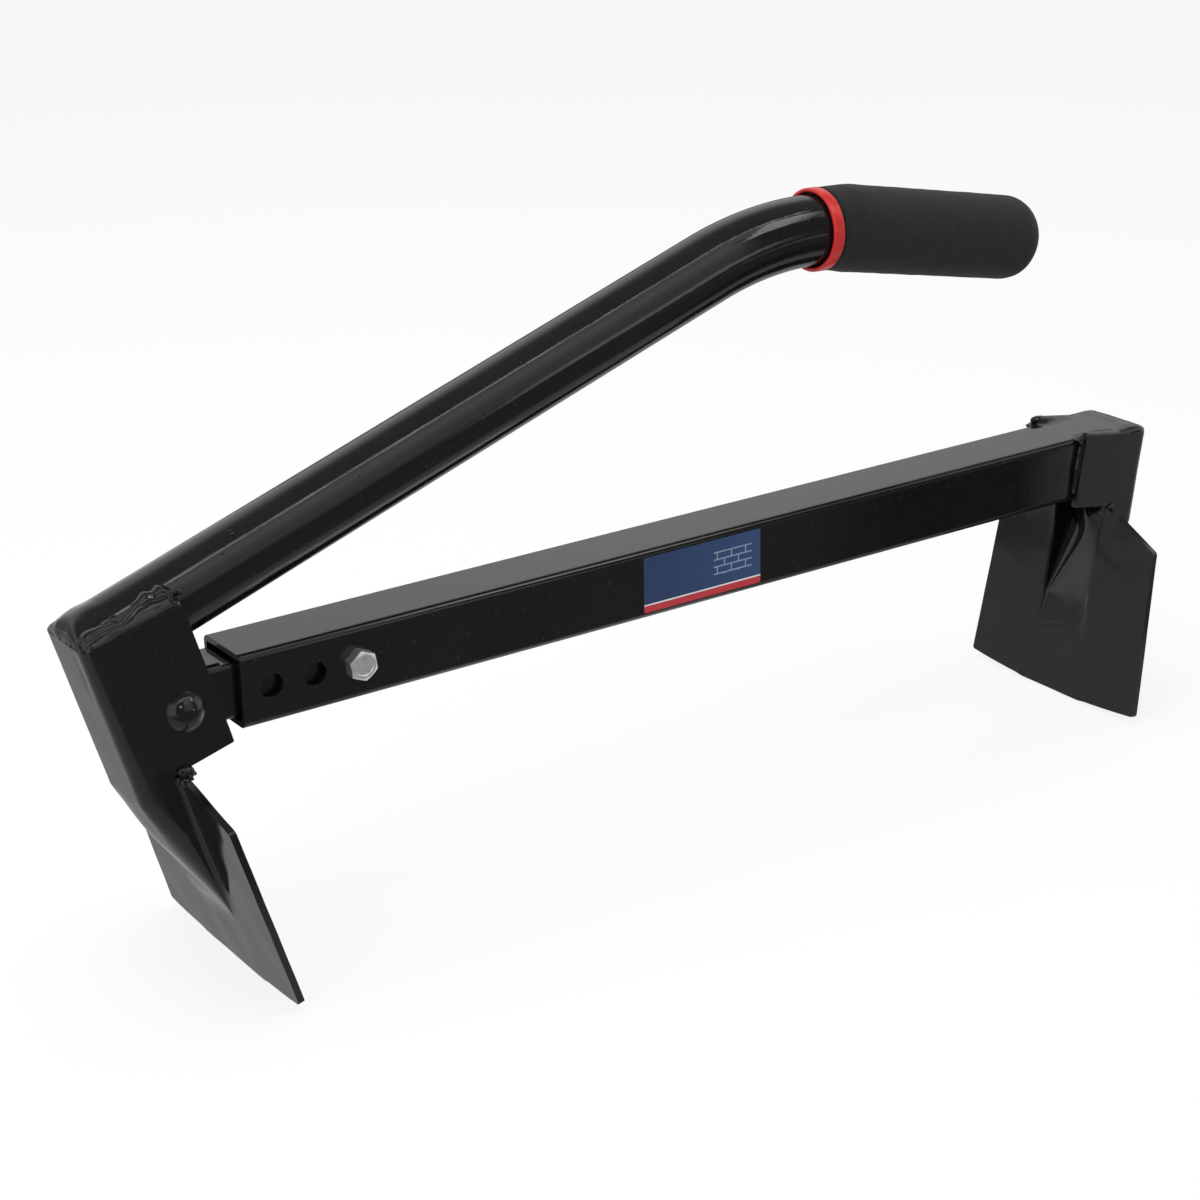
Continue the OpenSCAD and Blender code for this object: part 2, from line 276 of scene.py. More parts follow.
@dataclass(frozen=True)
class BlackPaint(Finish):
    """Gloss black powder coat: orange peel, streaks along the metal, slow waves and a few specks of dust."""

    gloss: float = 0.07
    streak: float = 0.30
    lean: float = 0.0

    def paint(self, sheet: NodeSheet) -> Term:
        """Build the shader.

        Args:
            sheet: The tree that takes the nodes.

        Returns:
            The shader.
        """
        place = sheet.place()
        drawn = sheet.node(
            "ShaderNodeMapping",
            {"vector_type": "TEXTURE"},
            {"Vector": place, "Rotation": (0.0, -math.radians(self.lean), 0.0), "Scale": (40.0, 1.0, 1.0)},
        )
        waves = sheet.noise(place, 16.0, 1.0)
        peel = sheet.noise(place, 2.2, 1.5, 0.45)
        streaks = sheet.noise(drawn, 1.5, 2.0, 0.6)
        dust = sheet.noise(place, 1.1, 0.0).ramp(0.81, 0.86)
        cloud = sheet.noise(place, 30.0, 3.0, 0.6)
        normal = sheet.bump(waves, 0.5, 0.10)
        normal = sheet.bump(peel, 0.1, 0.16, normal)
        normal = sheet.bump(streaks, 0.05, self.streak, normal)
        normal = sheet.bump(dust, 0.12, 0.5, normal)
        tint = sheet.mix(cloud, colour(0.0040, 0.0040, 0.0043), grey(0.0075))
        tint = sheet.mix(dust * 0.5, tint, grey(0.03))
        rough = cloud.ramp(0.35, 0.70) * 0.05 + self.gloss + dust * 0.15
        return sheet.principled(tint, rough, normal, {"IOR": 1.5})


@dataclass(frozen=True)
class ZincPlate(Finish):
    """Bright zinc plate with a fine rolled grain and dull patches."""

    def paint(self, sheet: NodeSheet) -> Term:
        """Build the shader.

        Args:
            sheet: The tree that takes the nodes.

        Returns:
            The shader.
        """
        place = sheet.place()
        cloud = sheet.noise(place, 3.0, 4.0, 0.6)
        grain = sheet.noise(place, 0.5, 3.0, 0.7)
        tint = sheet.mix(cloud.ramp(0.3, 0.7), colour(0.75, 0.75, 0.74), colour(0.89, 0.89, 0.88))
        normal = sheet.bump(grain, 0.05, 0.35)
        return sheet.principled(tint, cloud * 0.20 + 0.38, normal, {"Metallic": 1.0})


@dataclass(frozen=True)
class RedPlastic(Finish):
    """Glossy red moulded plastic with faint flow marks."""

    def paint(self, sheet: NodeSheet) -> Term:
        """Build the shader.

        Args:
            sheet: The tree that takes the nodes.

        Returns:
            The shader.
        """
        place = sheet.place()
        flow = sheet.noise(place, 6.0, 3.0, 0.5)
        peel = sheet.noise(place, 1.6, 2.0)
        tint = sheet.mix(flow, colour(0.45, 0.014, 0.013), colour(0.60, 0.025, 0.022))
        return sheet.principled(tint, flow * 0.12 + 0.20, sheet.bump(peel, 0.10, 0.25))


@dataclass(frozen=True)
class GripFoam(Finish):
    """Matt closed-cell foam rubber with fine grain, open pores darkened with painted shade, and a few pale
    specks.
    """

    def paint(self, sheet: NodeSheet) -> Term:
        """Build the shader.

        Args:
            sheet: The tree that takes the nodes.

        Returns:
            The shader.
        """
        place = sheet.place()
        grain = sheet.noise(place, 0.55, 3.0, 0.7)
        cells = sheet.node("ShaderNodeTexVoronoi", None, {"Vector": place, "Scale": 520.0})
        pore_dents_and_shade = 1.0 - cells.ramp(0.10, 0.24)
        cloud = sheet.noise(place, 9.0, 4.0, 0.6)
        specks = sheet.noise(place, 0.9, 0.0).ramp(0.80, 0.84)
        tint = sheet.mix(cloud, grey(0.0080), grey(0.0117))
        tint = sheet.mix(grain.ramp(0.40, 0.65) * 0.5, tint, grey(0.019))
        # Painted shade: the open pores are darkened in colour here, and dented by the bump below.
        tint = sheet.mix(pore_dents_and_shade * 0.5, tint, grey(0.005))
        tint = sheet.mix(specks * 0.7, tint, grey(0.07))
        normal = sheet.bump(grain, 0.16, 0.55)
        normal = sheet.bump(1.0 - pore_dents_and_shade, 0.14, 0.40, normal)
        sheen: Inputs = {"Sheen Weight": 0.06, "Sheen Roughness": 0.5, "Specular IOR Level": 0.30}
        return sheet.principled(tint, grain * 0.15 + 0.78, normal, sheen)


@dataclass(frozen=True)
class LabelFilm(Finish):
    """Printed film: a blue field, a red foot strip under a white rule, and a panel of brickwork lines."""

    centre: tuple[float, float] = (0.0, 0.0)
    length: float = 65.0
    height: float = 26.0
    foot: float = 3.2
    rule: float = 0.7

    def paint(self, sheet: NodeSheet) -> Term:
        """Build the shader.

        Args:
            sheet: The tree that takes the nodes.

        Returns:
            The shader.
        """
        shift = (-self.centre[0] * MM, 0.0, -self.centre[1] * MM)
        place = sheet.node("ShaderNodeMapping", None, {"Vector": sheet.place(), "Location": shift})
        along, up = sheet.axis(place, "X") * 1000.0, sheet.axis(place, "Z") * 1000.0
        half, foot_top = self.length / 2, self.foot - self.height / 2
        grain = sheet.noise(place, 0.35, 2.0)
        tint = sheet.mix(along.ramp(-half, half), colour(0.010, 0.036, 0.118), colour(0.019, 0.056, 0.160))
        tint = sheet.mix(grain * 0.15, tint, colour(0.03, 0.07, 0.19))
        flat = sheet.node("ShaderNodeCombineXYZ", None, {"X": along, "Y": up})
        lines: Inputs = {"Vector": flat, "Scale": 1.0, "Brick Width": 8.0, "Row Height": 3.4}
        lines.update({"Mortar Size": 0.32, "Mortar Smooth": 0.1})
        bricks = sheet.node("ShaderNodeTexBrick", {"offset": 0.5}, lines, "Fac")
        panel = (along > 6.0) * (along < half - 5.0) * (up > -4.2) * (up < 7.2)
        tint = sheet.mix(bricks * panel * 0.55, tint, colour(0.42, 0.50, 0.62))
        tint = sheet.mix(up < foot_top, tint, colour(0.50, 0.022, 0.035))
        tint = sheet.mix((up > foot_top) * (up < foot_top + self.rule), tint, grey(0.72))
        normal = sheet.bump(sheet.noise(place, 5.0, 2.0), 0.08, 0.2)
        return sheet.principled(tint, grain * 0.10 + 0.36, normal)


@dataclass(frozen=True)
class StageWhite(Finish):
    """Pale floor: plain white to the eye and to gloss, and it keeps a share of the shadow."""

    shadow: float = 0.15

    def paint(self, sheet: NodeSheet) -> Term:
        """Build the shader.

        Args:
            sheet: The tree that takes the nodes.

        Returns:
            The shader.
        """
        pale = sheet.mix(sheet.noise(sheet.place(), 400.0, 2.0), grey(0.86), grey(0.90))
        matt = sheet.node("ShaderNodeBsdfDiffuse", None, {"Color": pale})
        lit = seen(sheet) * (1.0 - self.shadow)
        return sheet.node("ShaderNodeMixShader", None, {0: lit, 1: matt, 2: sheet.glow(grey(1.0))})


@dataclass(frozen=True)
class Step:
    """A change of tone on a studio card: to a new tone where all its ramps have risen."""

    tone: float
    ramps: tuple[tuple[str, float, float], ...]


@dataclass(frozen=True)
class CardTone(Finish):
    """Graded grey of a studio card, which shapes what gloss reflects."""

    base: float = 0.5
    steps: tuple[Step, ...] = ()
    brightest: float = 20.0

    def paint(self, sheet: NodeSheet) -> Term:
        """Build the shader.

        Args:
            sheet: The tree that takes the nodes.

        Returns:
            The shader.
        """
        place = sheet.place()
        tone: Number = self.base
        for step in self.steps:
            share: Number = 1.0
            for letters, low, high in step.ramps:
                ways = [sheet.axis(place, letter) for letter in letters]
                along = ways[0] if len(ways) == 1 else ways[0] + ways[1]
                share = along.ramp(low, high) * share
            tone = share * (step.tone - tone) + tone
        return sheet.glow(sheet.mix(tone * (1.0 / self.brightest), grey(0.0), grey(self.brightest)))


# ----------------------------------------------------------------- mesh helpers

Place = Callable[[float, float], Vector]
SAME_POINT = 1e-4


def limit(value: float) -> float:
    """A value held between 0 and 1."""
    return min(max(value, 0.0), 1.0)


def smooth(value: float) -> float:
    """A smooth step from 0 to 1."""
    value = limit(value)
    return value * value * (3.0 - 2.0 * value)


def lumps(x: float, y: float, z: float) -> float:
    """A smooth noise of about -1 to 1 at a place."""
    return noise.noise(Vector((x, y, z)))


def rotation(degrees: float, axis: str) -> Matrix:
    """A turn about an axis."""
    return Matrix.Rotation(math.radians(degrees), 4, axis)


def verts_in(items: Sequence[Any]) -> list[bmesh.types.BMVert]:
    """The vertices among what an operator made."""
    return [item for item in items if isinstance(item, bmesh.types.BMVert)]


def open_edges(mesh: Mesh) -> list[bmesh.types.BMEdge]:
    """The edges that only one face has."""
    return [edge for edge in mesh.edges if edge.is_boundary]


def face_outwards(mesh: Mesh) -> None:
    """Turn all faces outwards."""
    bmesh.ops.recalc_face_normals(mesh, faces=mesh.faces)


def close_holes(mesh: Mesh, edges: Sequence[bmesh.types.BMEdge]) -> None:
    """Fill the holes within edges, and turn all faces outwards."""
    bmesh.ops.holes_fill(mesh, edges=edges, sides=0)
    face_outwards(mesh)


def rounded(
    mesh: Mesh, geom: Sequence[Any], offset: float, segments: int, affect: str = "EDGES"
) -> None:
    """Round edges, or the corners of a flat face.

    Args:
        mesh: The mesh.
        geom: Its edges or its vertices.
        offset: The width of the rounding on each side, in millimetres.
        segments: The faces across the rounding.
        affect: EDGES or VERTICES.
    """
    bmesh.ops.bevel(
        mesh,
        geom=geom,
        offset=offset,
        offset_type="OFFSET",
        affect=affect,
        segments=segments,
        profile=0.5,
        material=-1,
        clamp_overlap=True,
    )


def spin_round(mesh: Mesh, geom: Sequence[Any], axis: tuple[int, int, int], steps: int) -> None:
    """Spin a profile through a full turn, and join its ends.

    Args:
        mesh: The mesh.
        geom: The profile's vertices and edges.
        axis: The axis, through the origin.
        steps: The faces around.
    """
    full = 2 * math.pi
    bmesh.ops.spin(mesh, geom=geom, cent=(0, 0, 0), axis=axis, angle=full, steps=steps, use_merge=True)
    bmesh.ops.remove_doubles(mesh, verts=mesh.verts, dist=SAME_POINT)
    face_outwards(mesh)


def blend(start: float, end: float, share: float) -> float:
    """The value that lies share of the way from start to end."""
    return start + (end - start) * share


def along_stops(stops: Sequence[tuple[float, float]], at: float) -> float:
    """A smooth curve through (place, value) stops.

    Args:
        stops: The stops, in order of place.
        at: The place.

    Returns:
        The value there.
    """
    for (low, first), (high, second) in zip(stops, stops[1:]):
        if at <= high:
            return blend(first, second, smooth((at - low) / (high - low)))
    return stops[-1][1]


def grid(columns: int, rows: int, place: Place) -> Mesh:
    """A grid whose points a function puts in place.

    Args:
        columns: Its faces across.
        rows: Its faces along.
        place: The point at (across, along), each from 0 to 1.

    Returns:
        The mesh.
    """
    mesh = bmesh.new()
    bmesh.ops.create_grid(mesh, x_segments=columns, y_segments=rows, size=0.5)
    for vert in mesh.verts:
        vert.co = place(vert.co.x + 0.5, vert.co.y + 0.5)
    return mesh


def closed_bead(around: int, along: int, place: Place) -> Mesh:
    """A closed skin: a grid joined to itself across, with its ends filled.

    Args:
        around: Its faces around.
        along: Its faces along.
        place: The point at (around, along), each from 0 to 1, with around 0 and 1 the same.

    Returns:
        The mesh.
    """
    mesh = grid(around, along, place)
    bmesh.ops.remove_doubles(mesh, verts=mesh.verts, dist=SAME_POINT)
    close_holes(mesh, open_edges(mesh))
    return mesh


def roughen(mesh: Mesh, height: float, size: float, seed: float) -> None:
    """Move each point along its normal by a noise.

    Args:
        mesh: The mesh.
        height: The most that a point moves, in millimetres.
        size: The size of the lumps, in millimetres.
        seed: A shift that makes this noise its own.
    """
    mesh.normal_update()
    shift = Vector((seed, 2.7 * seed, -1.3 * seed))
    moves = [(vert, vert.normal * noise.noise(vert.co / size + shift) * height) for vert in mesh.verts]
    for vert, move in moves:
        vert.co += move


def swept(rings: Sequence[Matrix], segments: int) -> Mesh:
    """A skin through rings: a unit circle at the first, extruded to each next ring, with its ends filled.

    Args:
        rings: Where the rings lie, with their radii as scale.
        segments: The points on a ring.

    Returns:
        The mesh.
    """
    mesh = bmesh.new()
    bmesh.ops.create_circle(mesh, cap_ends=True, segments=segments, radius=1.0, matrix=rings[0])
    edges = list(mesh.edges)
    for last, step in zip(rings, rings[1:]):
        made = bmesh.ops.extrude_edge_only(mesh, edges=edges)["geom"]
        points = verts_in(made)
        ring = set(points)
        bmesh.ops.transform(mesh, matrix=step @ last.inverted(), verts=points)
        edges = [item for item in made if isinstance(item, bmesh.types.BMEdge) and set(item.verts) <= ring]
    close_holes(mesh, edges)
    return mesh


def ball(mesh: Mesh, centre: Vector, radius: float, squash: tuple[float, float, float]) -> None:
    """Add a small rounded drop, scaled along each axis, to a mesh."""
    where = Matrix.Translation(centre) @ Matrix.Diagonal((*squash, 1.0))
    bmesh.ops.create_icosphere(mesh, subdivisions=3, radius=radius, matrix=where)


def add_object(name: str, data: Any) -> bpy.types.Object:
    """Add an object to the scene.

    Args:
        name: Its name.
        data: Its mesh, lamp or camera.

    Returns:
        The object.
    """
    made = bpy.data.objects.new(name, data)
    bpy.context.scene.collection.objects.link(made)
    return made


def add_mesh(name: str, mesh: Mesh, finish: Finish) -> bpy.types.Object:
    """Add a mesh to the scene.

    Args:
        name: The object's name.
        mesh: Its mesh, which is used up.
        finish: Its finish.

    Returns:
        The object.
    """
    data = bpy.data.meshes.new(name)
    mesh.to_mesh(data)
    mesh.free()
    data.materials.append(finish.material())
    return add_object(name, data)


def put(
    name: str,
    mesh: Mesh,
    where: Matrix,
    body: Body,
    slot: Slot,
    finish: Finish,
    stands_for: Sequence[str] = (),
    sharp: float = 40.0,
) -> bpy.types.Object:
    """Make a mesh a finished piece.

    Args:
        name: The piece's name.
        mesh: Its mesh, in millimetres, which is used up.
        where: Its place in the part, in millimetres.
        body: The body it rides on.
        slot: The record's slot of its finish. Not used.
        finish: Its finish.
        stands_for: The nodes that it replaces.
        sharp: The angle from which an edge is sharp, in degrees.

    Returns:
        The piece.
    """
    bmesh.ops.transform(mesh, matrix=Matrix.Scale(MM, 4) @ where, verts=mesh.verts)
    if where.determinant() < 0:
        bmesh.ops.reverse_faces(mesh, faces=mesh.faces)
    piece = add_mesh(name, mesh, finish)
    piece.data.shade_smooth()
    piece.data.set_sharp_from_angle(angle=math.radians(sharp))
    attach(piece, body.value)
    if stands_for:
        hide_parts(*stands_for)
    LOG.info("piece %s on %s, %d faces", name, body.value, len(piece.data.polygons))
    return piece


def round_edges(piece: bpy.types.Object, width: float, angle: float = 35.0, segments: int = 3) -> None:
    """Round a piece's edges with a live modifier.

    Args:
        piece: The piece.
        width: The width of the rounding, in millimetres.
        angle: The least angle of an edge that is rounded, in degrees.
        segments: The faces across the rounding.
    """
    for edge in piece.data.edges:
        edge.use_edge_sharp = False
    rounding = piece.modifiers.new("round_edges", "BEVEL")
    rounding.width = width * MM
    rounding.segments = segments
    rounding.limit_method = "ANGLE"
    rounding.angle_limit = math.radians(angle)
    rounding.harden_normals = True


def from_node(node: str, rounding: float, angle: float = 40.0) -> Mesh:
    """A merged copy of a node's solid with its sharp edges rounded.

    Args:
        node: The node.
        rounding: The width of the rounding, in millimetres.
        angle: The least angle of an edge that is rounded, in degrees.

    Returns:
        The mesh, in millimetres.
    """
    mesh = bmesh.new()
    mesh.from_mesh(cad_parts[node].data)
    bmesh.ops.scale(mesh, vec=(1000.0, 1000.0, 1000.0), verts=mesh.verts)
    bmesh.ops.remove_doubles(mesh, verts=mesh.verts, dist=1e-3)
    bmesh.ops.dissolve_limit(mesh, angle_limit=math.radians(0.6), verts=mesh.verts, edges=mesh.edges)
    least = math.radians(angle)
    sharp = [edge for edge in mesh.edges if edge.is_manifold and edge.calc_face_angle(0.0) > least]
    rounded(mesh, sharp, rounding, 3)
    return mesh


# ----------------------------------------------------------------------- layout


@dataclass(frozen=True)
class Layout:
    """The part's sizes and places that more than one sub-assembly uses, in millimetres and degrees."""

    outer_w: float = 32.0
    mouth_x: float = -220.740
    bar_z: float = 124.182
    bolt_x: float = -167.240
    pivot_x: float = -247.240
    fixed_x: float = 255.793
    fixed_z: float = 125.855
    lever_tilt: float = 15.5
    fixed_tilt: float = 9.0
    handle_rise: float = 39.078
    handle_angle: float = 19.0
    handle_d: float = 32.0
    handle_len: float = 330.0
    bend_angle: float = 29.8
    bend_r: float = 160.0
    web: float = 29.749
    channel_out: float = 19.5
    fold_r: float = 6.0
    ear_front: float = 14.5
    ear_drop: float = 22.5
    lever_rise: float = 43.056
    fixed_rise: float = 14.5
    blade_out: float = -12.149

    def lever(self) -> Matrix:
        """The lever jaw's frame."""
        return Matrix.Translation((self.pivot_x, 0.0, self.bar_z)) @ rotation(-self.lever_tilt, "Y")

    def fixed(self) -> Matrix:
        """The fixed jaw's frame, which is mirrored."""
        mirrored = Matrix.Translation((self.fixed_x, 0.0, self.fixed_z)) @ Matrix.Diagonal((-1, 1, 1, 1))
        return mirrored @ rotation(-self.fixed_tilt, "Y")

    def jaw(self, body: Body) -> Matrix:
        """The frame of the jaw on a body."""
        return self.lever() if body is Body.LEVER else self.fixed()

    def handle(self) -> Matrix:
        """The frame of the straight handle tube, with x along its axis."""
        above = Matrix.Translation((self.pivot_x, 0.0, self.bar_z + self.handle_rise))
        return above @ rotation(-self.handle_angle, "Y")

    def bend_start(self) -> float:
        """Where the bend starts on the tube's axis."""
        return self.handle_len - self.bend_r * math.tan(math.radians(self.bend_angle / 2))

    def bend_length(self) -> float:
        """The length of the bend on the tube's axis."""
        return self.bend_r * math.radians(self.bend_angle)

    def on_handle(self, way: float) -> Matrix:
        """The frame at a way along the tube's axis, from above the pivot, with x along the axis.

        Args:
            way: The way in millimetres.

        Returns:
            The frame.
        """
        start = self.bend_start()
        turn = min(max(way - start, 0.0), self.bend_length()) / self.bend_r
        bend = Matrix.Translation((start, 0, -self.bend_r)) @ Matrix.Rotation(turn, 4, "Y")
        rest = min(way - start, 0.0) + max(way - start - self.bend_length(), 0.0)
        return self.handle() @ bend @ Matrix.Translation((rest, 0.0, self.bend_r))

    def ring(self, way: float, radius: float) -> Matrix:
        """A unit circle's place as a ring round the tube's axis, with its radius as scale."""
        return self.on_handle(way) @ rotation(90.0, "Y") @ Matrix.Diagonal((radius, radius, 1.0, 1.0))


# ------------------------------------------------------------------------- jaws


class JawKind(Enum):
    """The two jaws, pressed in the same tool."""

    LEVER = "lever_jaw"
    FIXED = "fixed_jaw"


@dataclass(frozen=True)
class Skin:
    """One face of a jaw's plate: its half widths, the radii of fold and rim, and where web and wings lie.

    The inset is measured from the web's outer face. The folds grow rounder by soften, below a drop of
    soft_from. The trough's wall ends at a drop of end, and its middle at a drop of run_out.
    """

    half: float
    throat: float
    fold: float
    rim: float
    inset: float
    wing: float
    soften: float
    soft_from: float
    end: float
    run_out: float
    throat_from: float = 24.0
    throat_run: float = 26.0

    def width(self, drop: float) -> float:
        """Half the trough's width at a drop below the pivot line."""
        return blend(self.half, self.throat, smooth((drop - self.throat_from) / self.throat_run))


@dataclass
class Jaw:
    """A pressed plate jaw: a folded channel above, a trough that runs out into the blade below."""

    kind: JawKind
    layout: Layout
    paint: BlackPaint
    notch: float = 24.0
    shoulder_half: float = 53.5
    shoulder_drop: float = 38.0
    foot_half: float = 58.5
    foot_drop: float = 122.0
    bow: float = 3.5
    trough_from: float = 31.0
    trough_run: float = 66.0
    end_run: float = 22.0
    tail: float = 3.0
    wave: float = 0.18
    wave_size: float = 17.0
    outer: Skin = Skin(19.5, 19.85, 6.0, 2.4, 0.0, -12.149, 4.5, 42.0, 97.0, 104.0)
    inner: Skin = Skin(16.5, 14.7, 3.0, 1.7, 3.0, -9.149, 6.5, 25.0, 80.0, 95.0)
    web_faces: int = 10
    fold_faces: int = 10
    wall_faces: int = 6
    rim_faces: int = 8
    wing_faces: int = 9
    ear_rows: int = 9
    blade_rows: int = 44

    def rise(self) -> float:
        """The height of the side walls above the pivot line."""
        return self.layout.lever_rise if self.kind is JawKind.LEVER else self.layout.fixed_rise

    def depth(self) -> float:
        """The depth of the trough behind the blade."""
        return self.layout.web + self.layout.blade_out

    def half_columns(self) -> int:
        """The columns from the middle of the web to the edge of the plate."""
        return self.web_faces + self.fold_faces + self.wall_faces + self.rim_faces + self.wing_faces

    def rows(self) -> int:
        """The rows from the top to the foot, with the slit's row among them."""
        return self.ear_rows + 1 + self.blade_rows

    def crest(self, drop: float, skin: Skin) -> float:
        """The trough's depth in the middle on one face, at a drop below the pivot line."""
        run = skin.run_out - self.trough_from
        return self.depth() * (1.0 - smooth((drop - self.trough_from) / run))

    def wall(self, drop: float, skin: Skin) -> float:
        """The height of the trough's side wall on one face, at a drop below the pivot line.

        Args:
            drop: The drop.
            skin: The face.

        Returns:
            The height.
        """
        run = self.depth() * (1.0 - limit((drop - self.trough_from) / self.trough_run))
        late = limit((drop - skin.end + self.end_run) / self.end_run)
        tail = self.tail * smooth((drop - 50.0) / 20.0) * (1.0 - smooth((drop - 72.0) / 27.0))
        return max(run * math.sqrt(1.0 - late * late), tail)

    def ear_point(self, column: float, drop: float, skin: Skin) -> Vector:
        """A point of the folded channel.

        Args:
            column: The column, from the middle of the web.
            drop: The drop below the pivot line.
            skin: The face of the plate.

        Returns:
            The point, on the positive side.
        """
        size, back = self.layout, skin.inset - self.layout.web
        flat = skin.half - skin.fold
        if column <= self.web_faces:
            return Vector((back, flat * column / self.web_faces, -drop))
        column -= self.web_faces
        if column <= self.fold_faces:
            turn = math.pi / 2 * column / self.fold_faces
            across = flat + skin.fold * math.sin(turn)
            return Vector((back + skin.fold * (1 - math.cos(turn)), across, -drop))
        column -= self.fold_faces
        if column <= self.wall_faces:
            along = blend(back + skin.fold, size.blade_out, column / self.wall_faces)
            return Vector((along, skin.half, -drop))
        column -= self.wall_faces
        share = column / (self.rim_faces + self.wing_faces)
        return Vector((blend(size.blade_out, size.ear_front, share), skin.half, -drop))

    def blade_point(self, column: float, row: float, skin: Skin) -> Vector:
        """A point below the side walls.

        Args:
            column: The column, from the middle of the web.
            row: The share of the way down, from the notch to the foot.
            skin: The face of the plate.

        Returns:
            The point, on the positive side.
        """
        edge_half = blend(self.shoulder_half, self.foot_half, row)
        wing = column - (self.half_columns() - self.wing_faces)
        share = max(wing, 0.0) / self.wing_faces
        near = blend(self.notch, self.foot_drop + self.bow, row)
        half = skin.width(near)
        rim = skin.rim + 4.0 * smooth((near - 74.0) / 14.0)
        across = blend(half + rim, edge_half, share) if wing > 0 else 0.0
        foot = self.foot_drop + self.bow * (1.0 - (across / self.foot_half) ** 2)
        drop = blend(blend(self.notch, self.shoulder_drop, share), foot, row)
        if wing > 0:
            return Vector((skin.wing, across, -drop))
        crest, wall = self.crest(drop, skin), self.wall(drop, skin)
        soft = skin.fold + skin.soften * smooth((drop - skin.soft_from) / 20.0)
        flat = half - soft
        fold_h, rim_h = min(soft, 0.55 * wall), min(rim, 0.45 * wall)
        if column <= self.web_faces:
            across, fall = flat * column / self.web_faces, 0.0
        elif column <= self.web_faces + self.fold_faces:
            turn = math.pi / 2 * (column - self.web_faces) / self.fold_faces
            across, fall = flat + soft * math.sin(turn), fold_h * (1.0 - math.cos(turn))
        elif column <= self.web_faces + self.fold_faces + self.wall_faces:
            share = (column - self.web_faces - self.fold_faces) / self.wall_faces
            return Vector((skin.wing - blend(wall - fold_h, rim_h, share), half, -drop))
        else:
            step = column - self.web_faces - self.fold_faces - self.wall_faces
            turn = math.pi / 2 * step / self.rim_faces
            out, over = rim_h * (1.0 - math.sin(turn)), rim * (1.0 - math.cos(turn))
            return Vector((skin.wing - out, half + over, -drop))
        arch = (1.0 + math.cos(math.pi * across / half)) / 2.0
        return Vector((skin.wing - (wall + (crest - wall) * arch - fall), across, -drop))

    def point(self, across: float, down: float, skin: Skin) -> Vector:
        """A point of one face of the plate.

        Args:
            across: From 0 at the front edge to 1 at the rear edge.
            down: From 0 at the top to 1 at the foot.
            skin: The face.

        Returns:
            The point in the jaw's frame.
        """
        signed = round((2.0 * across - 1.0) * self.half_columns(), 3)
        row = round(down * self.rows(), 3)
        if row <= self.ear_rows:
            drop = blend(-self.rise(), self.layout.ear_drop, row / self.ear_rows)
            found = self.ear_point(abs(signed), drop, skin)
        else:
            share = (row - self.ear_rows - 1) / self.blade_rows
            found = self.blade_point(abs(signed), share, skin)
        if signed < 0:
            found.y = -found.y
        found.x += self.wave * lumps(found.y / self.wave_size, found.z / self.wave_size, self.rise())
        if self.kind is JawKind.LEVER and found.x < -20.0:
            found.x += 0.7 * math.exp(-(((found.y + 9.5) / 1.5) ** 2 + ((found.z - 31.0) / 4.0) ** 2))
        return found

    def slit(self, face: bmesh.types.BMFace) -> bool:
        """Whether a face of the flat grid lies in the slit between a side wall and a shoulder.

        Args:
            face: The face.

        Returns:
            True for a face of the slit.
        """
        middle = face.calc_center_median()
        row, column = (middle.y + 0.5) * self.rows(), abs(2.0 * middle.x) * self.half_columns()
        return int(row) == self.ear_rows and column > self.half_columns() - self.wing_faces - self.rim_faces

    def build(self) -> None:
        """Press the plate: two faces with the same grid, joined along their edges."""
        mesh = bmesh.new()
        bmesh.ops.create_grid(mesh, x_segments=2 * self.half_columns(), y_segments=self.rows(), size=0.5)
        bmesh.ops.delete(mesh, geom=[face for face in mesh.faces if self.slit(face)], context="FACES")
        first = list(mesh.verts)
        copied = bmesh.ops.duplicate(mesh, geom=first + list(mesh.edges) + list(mesh.faces))["geom"]
        for skin, verts in ((self.outer, first), (self.inner, verts_in(copied))):
            for vert in verts:
                vert.co = self.point(vert.co.x + 0.5, vert.co.y + 0.5, skin)
        rungs = bmesh.ops.bridge_loops(mesh, edges=open_edges(mesh))["edges"]
        self.round_corners(mesh, rungs)
        face_outwards(mesh)
        body, node = Body.LEVER if self.kind is JawKind.LEVER else Body.BAR, self.kind.value
        where = self.layout.jaw(body)
        piece = put(f"{node}_plate", mesh, where, body, Slot.BLACK, self.paint, [node], 180.0)
        round_edges(piece, 0.55, 60.0)

    def round_corners(self, mesh: Mesh, rungs: Sequence[bmesh.types.BMEdge]) -> None:
        """Round the plate's free corners.

        Args:
            mesh: The plate.
            rungs: The edges across its thickness.
        """
        size, blade = self.layout, self.layout.blade_out + 1.5
        for x, y, z, radius in (
            (size.ear_front, 18.0, self.rise(), 1.5),
            (size.ear_front, 18.0, -size.ear_drop, 0.8),
            (blade, self.shoulder_half, -self.shoulder_drop, 1.4),
            (blade, self.foot_half, -self.foot_drop, 1.4),
        ):
            for side in Side:
                spot = Vector((x, side.value * y, z))
                live = [edge for edge in rungs if edge.is_valid]
                near = min(live, key=lambda edge: ((edge.verts[0].co + edge.verts[1].co) / 2 - spot).length)
                rounded(mesh, [near], radius, 4)


# ------------------------------------------------------------------------- bars


@dataclass
class Bars:
    """The square tubes: the outer bar, the inner bar that slides in it, and the sleeve at the pivot."""

    layout: Layout
    paint: BlackPaint
    rounding: dict[str, tuple[Body, float]] = field(
        default_factory=lambda: {
            "outer_bar": (Body.BAR, 0.45),
            "inner_bar": (Body.SLIDER, 0.35),
            "pivot_sleeve": (Body.SLIDER, 0.40),
        }
    )

    def build(self) -> None:
        """Make the three tubes with rounded rims."""
        for node, (body, width) in self.rounding.items():
            mesh = from_node(node, width)
            piece = put(f"{node}_tube", mesh, Matrix(), body, Slot.BLACK, self.paint, [node], 50.0)
            flat = piece.modifiers.new("flat_faces", "WEIGHTED_NORMAL")
            flat.weight = 100
            flat.keep_sharp = True


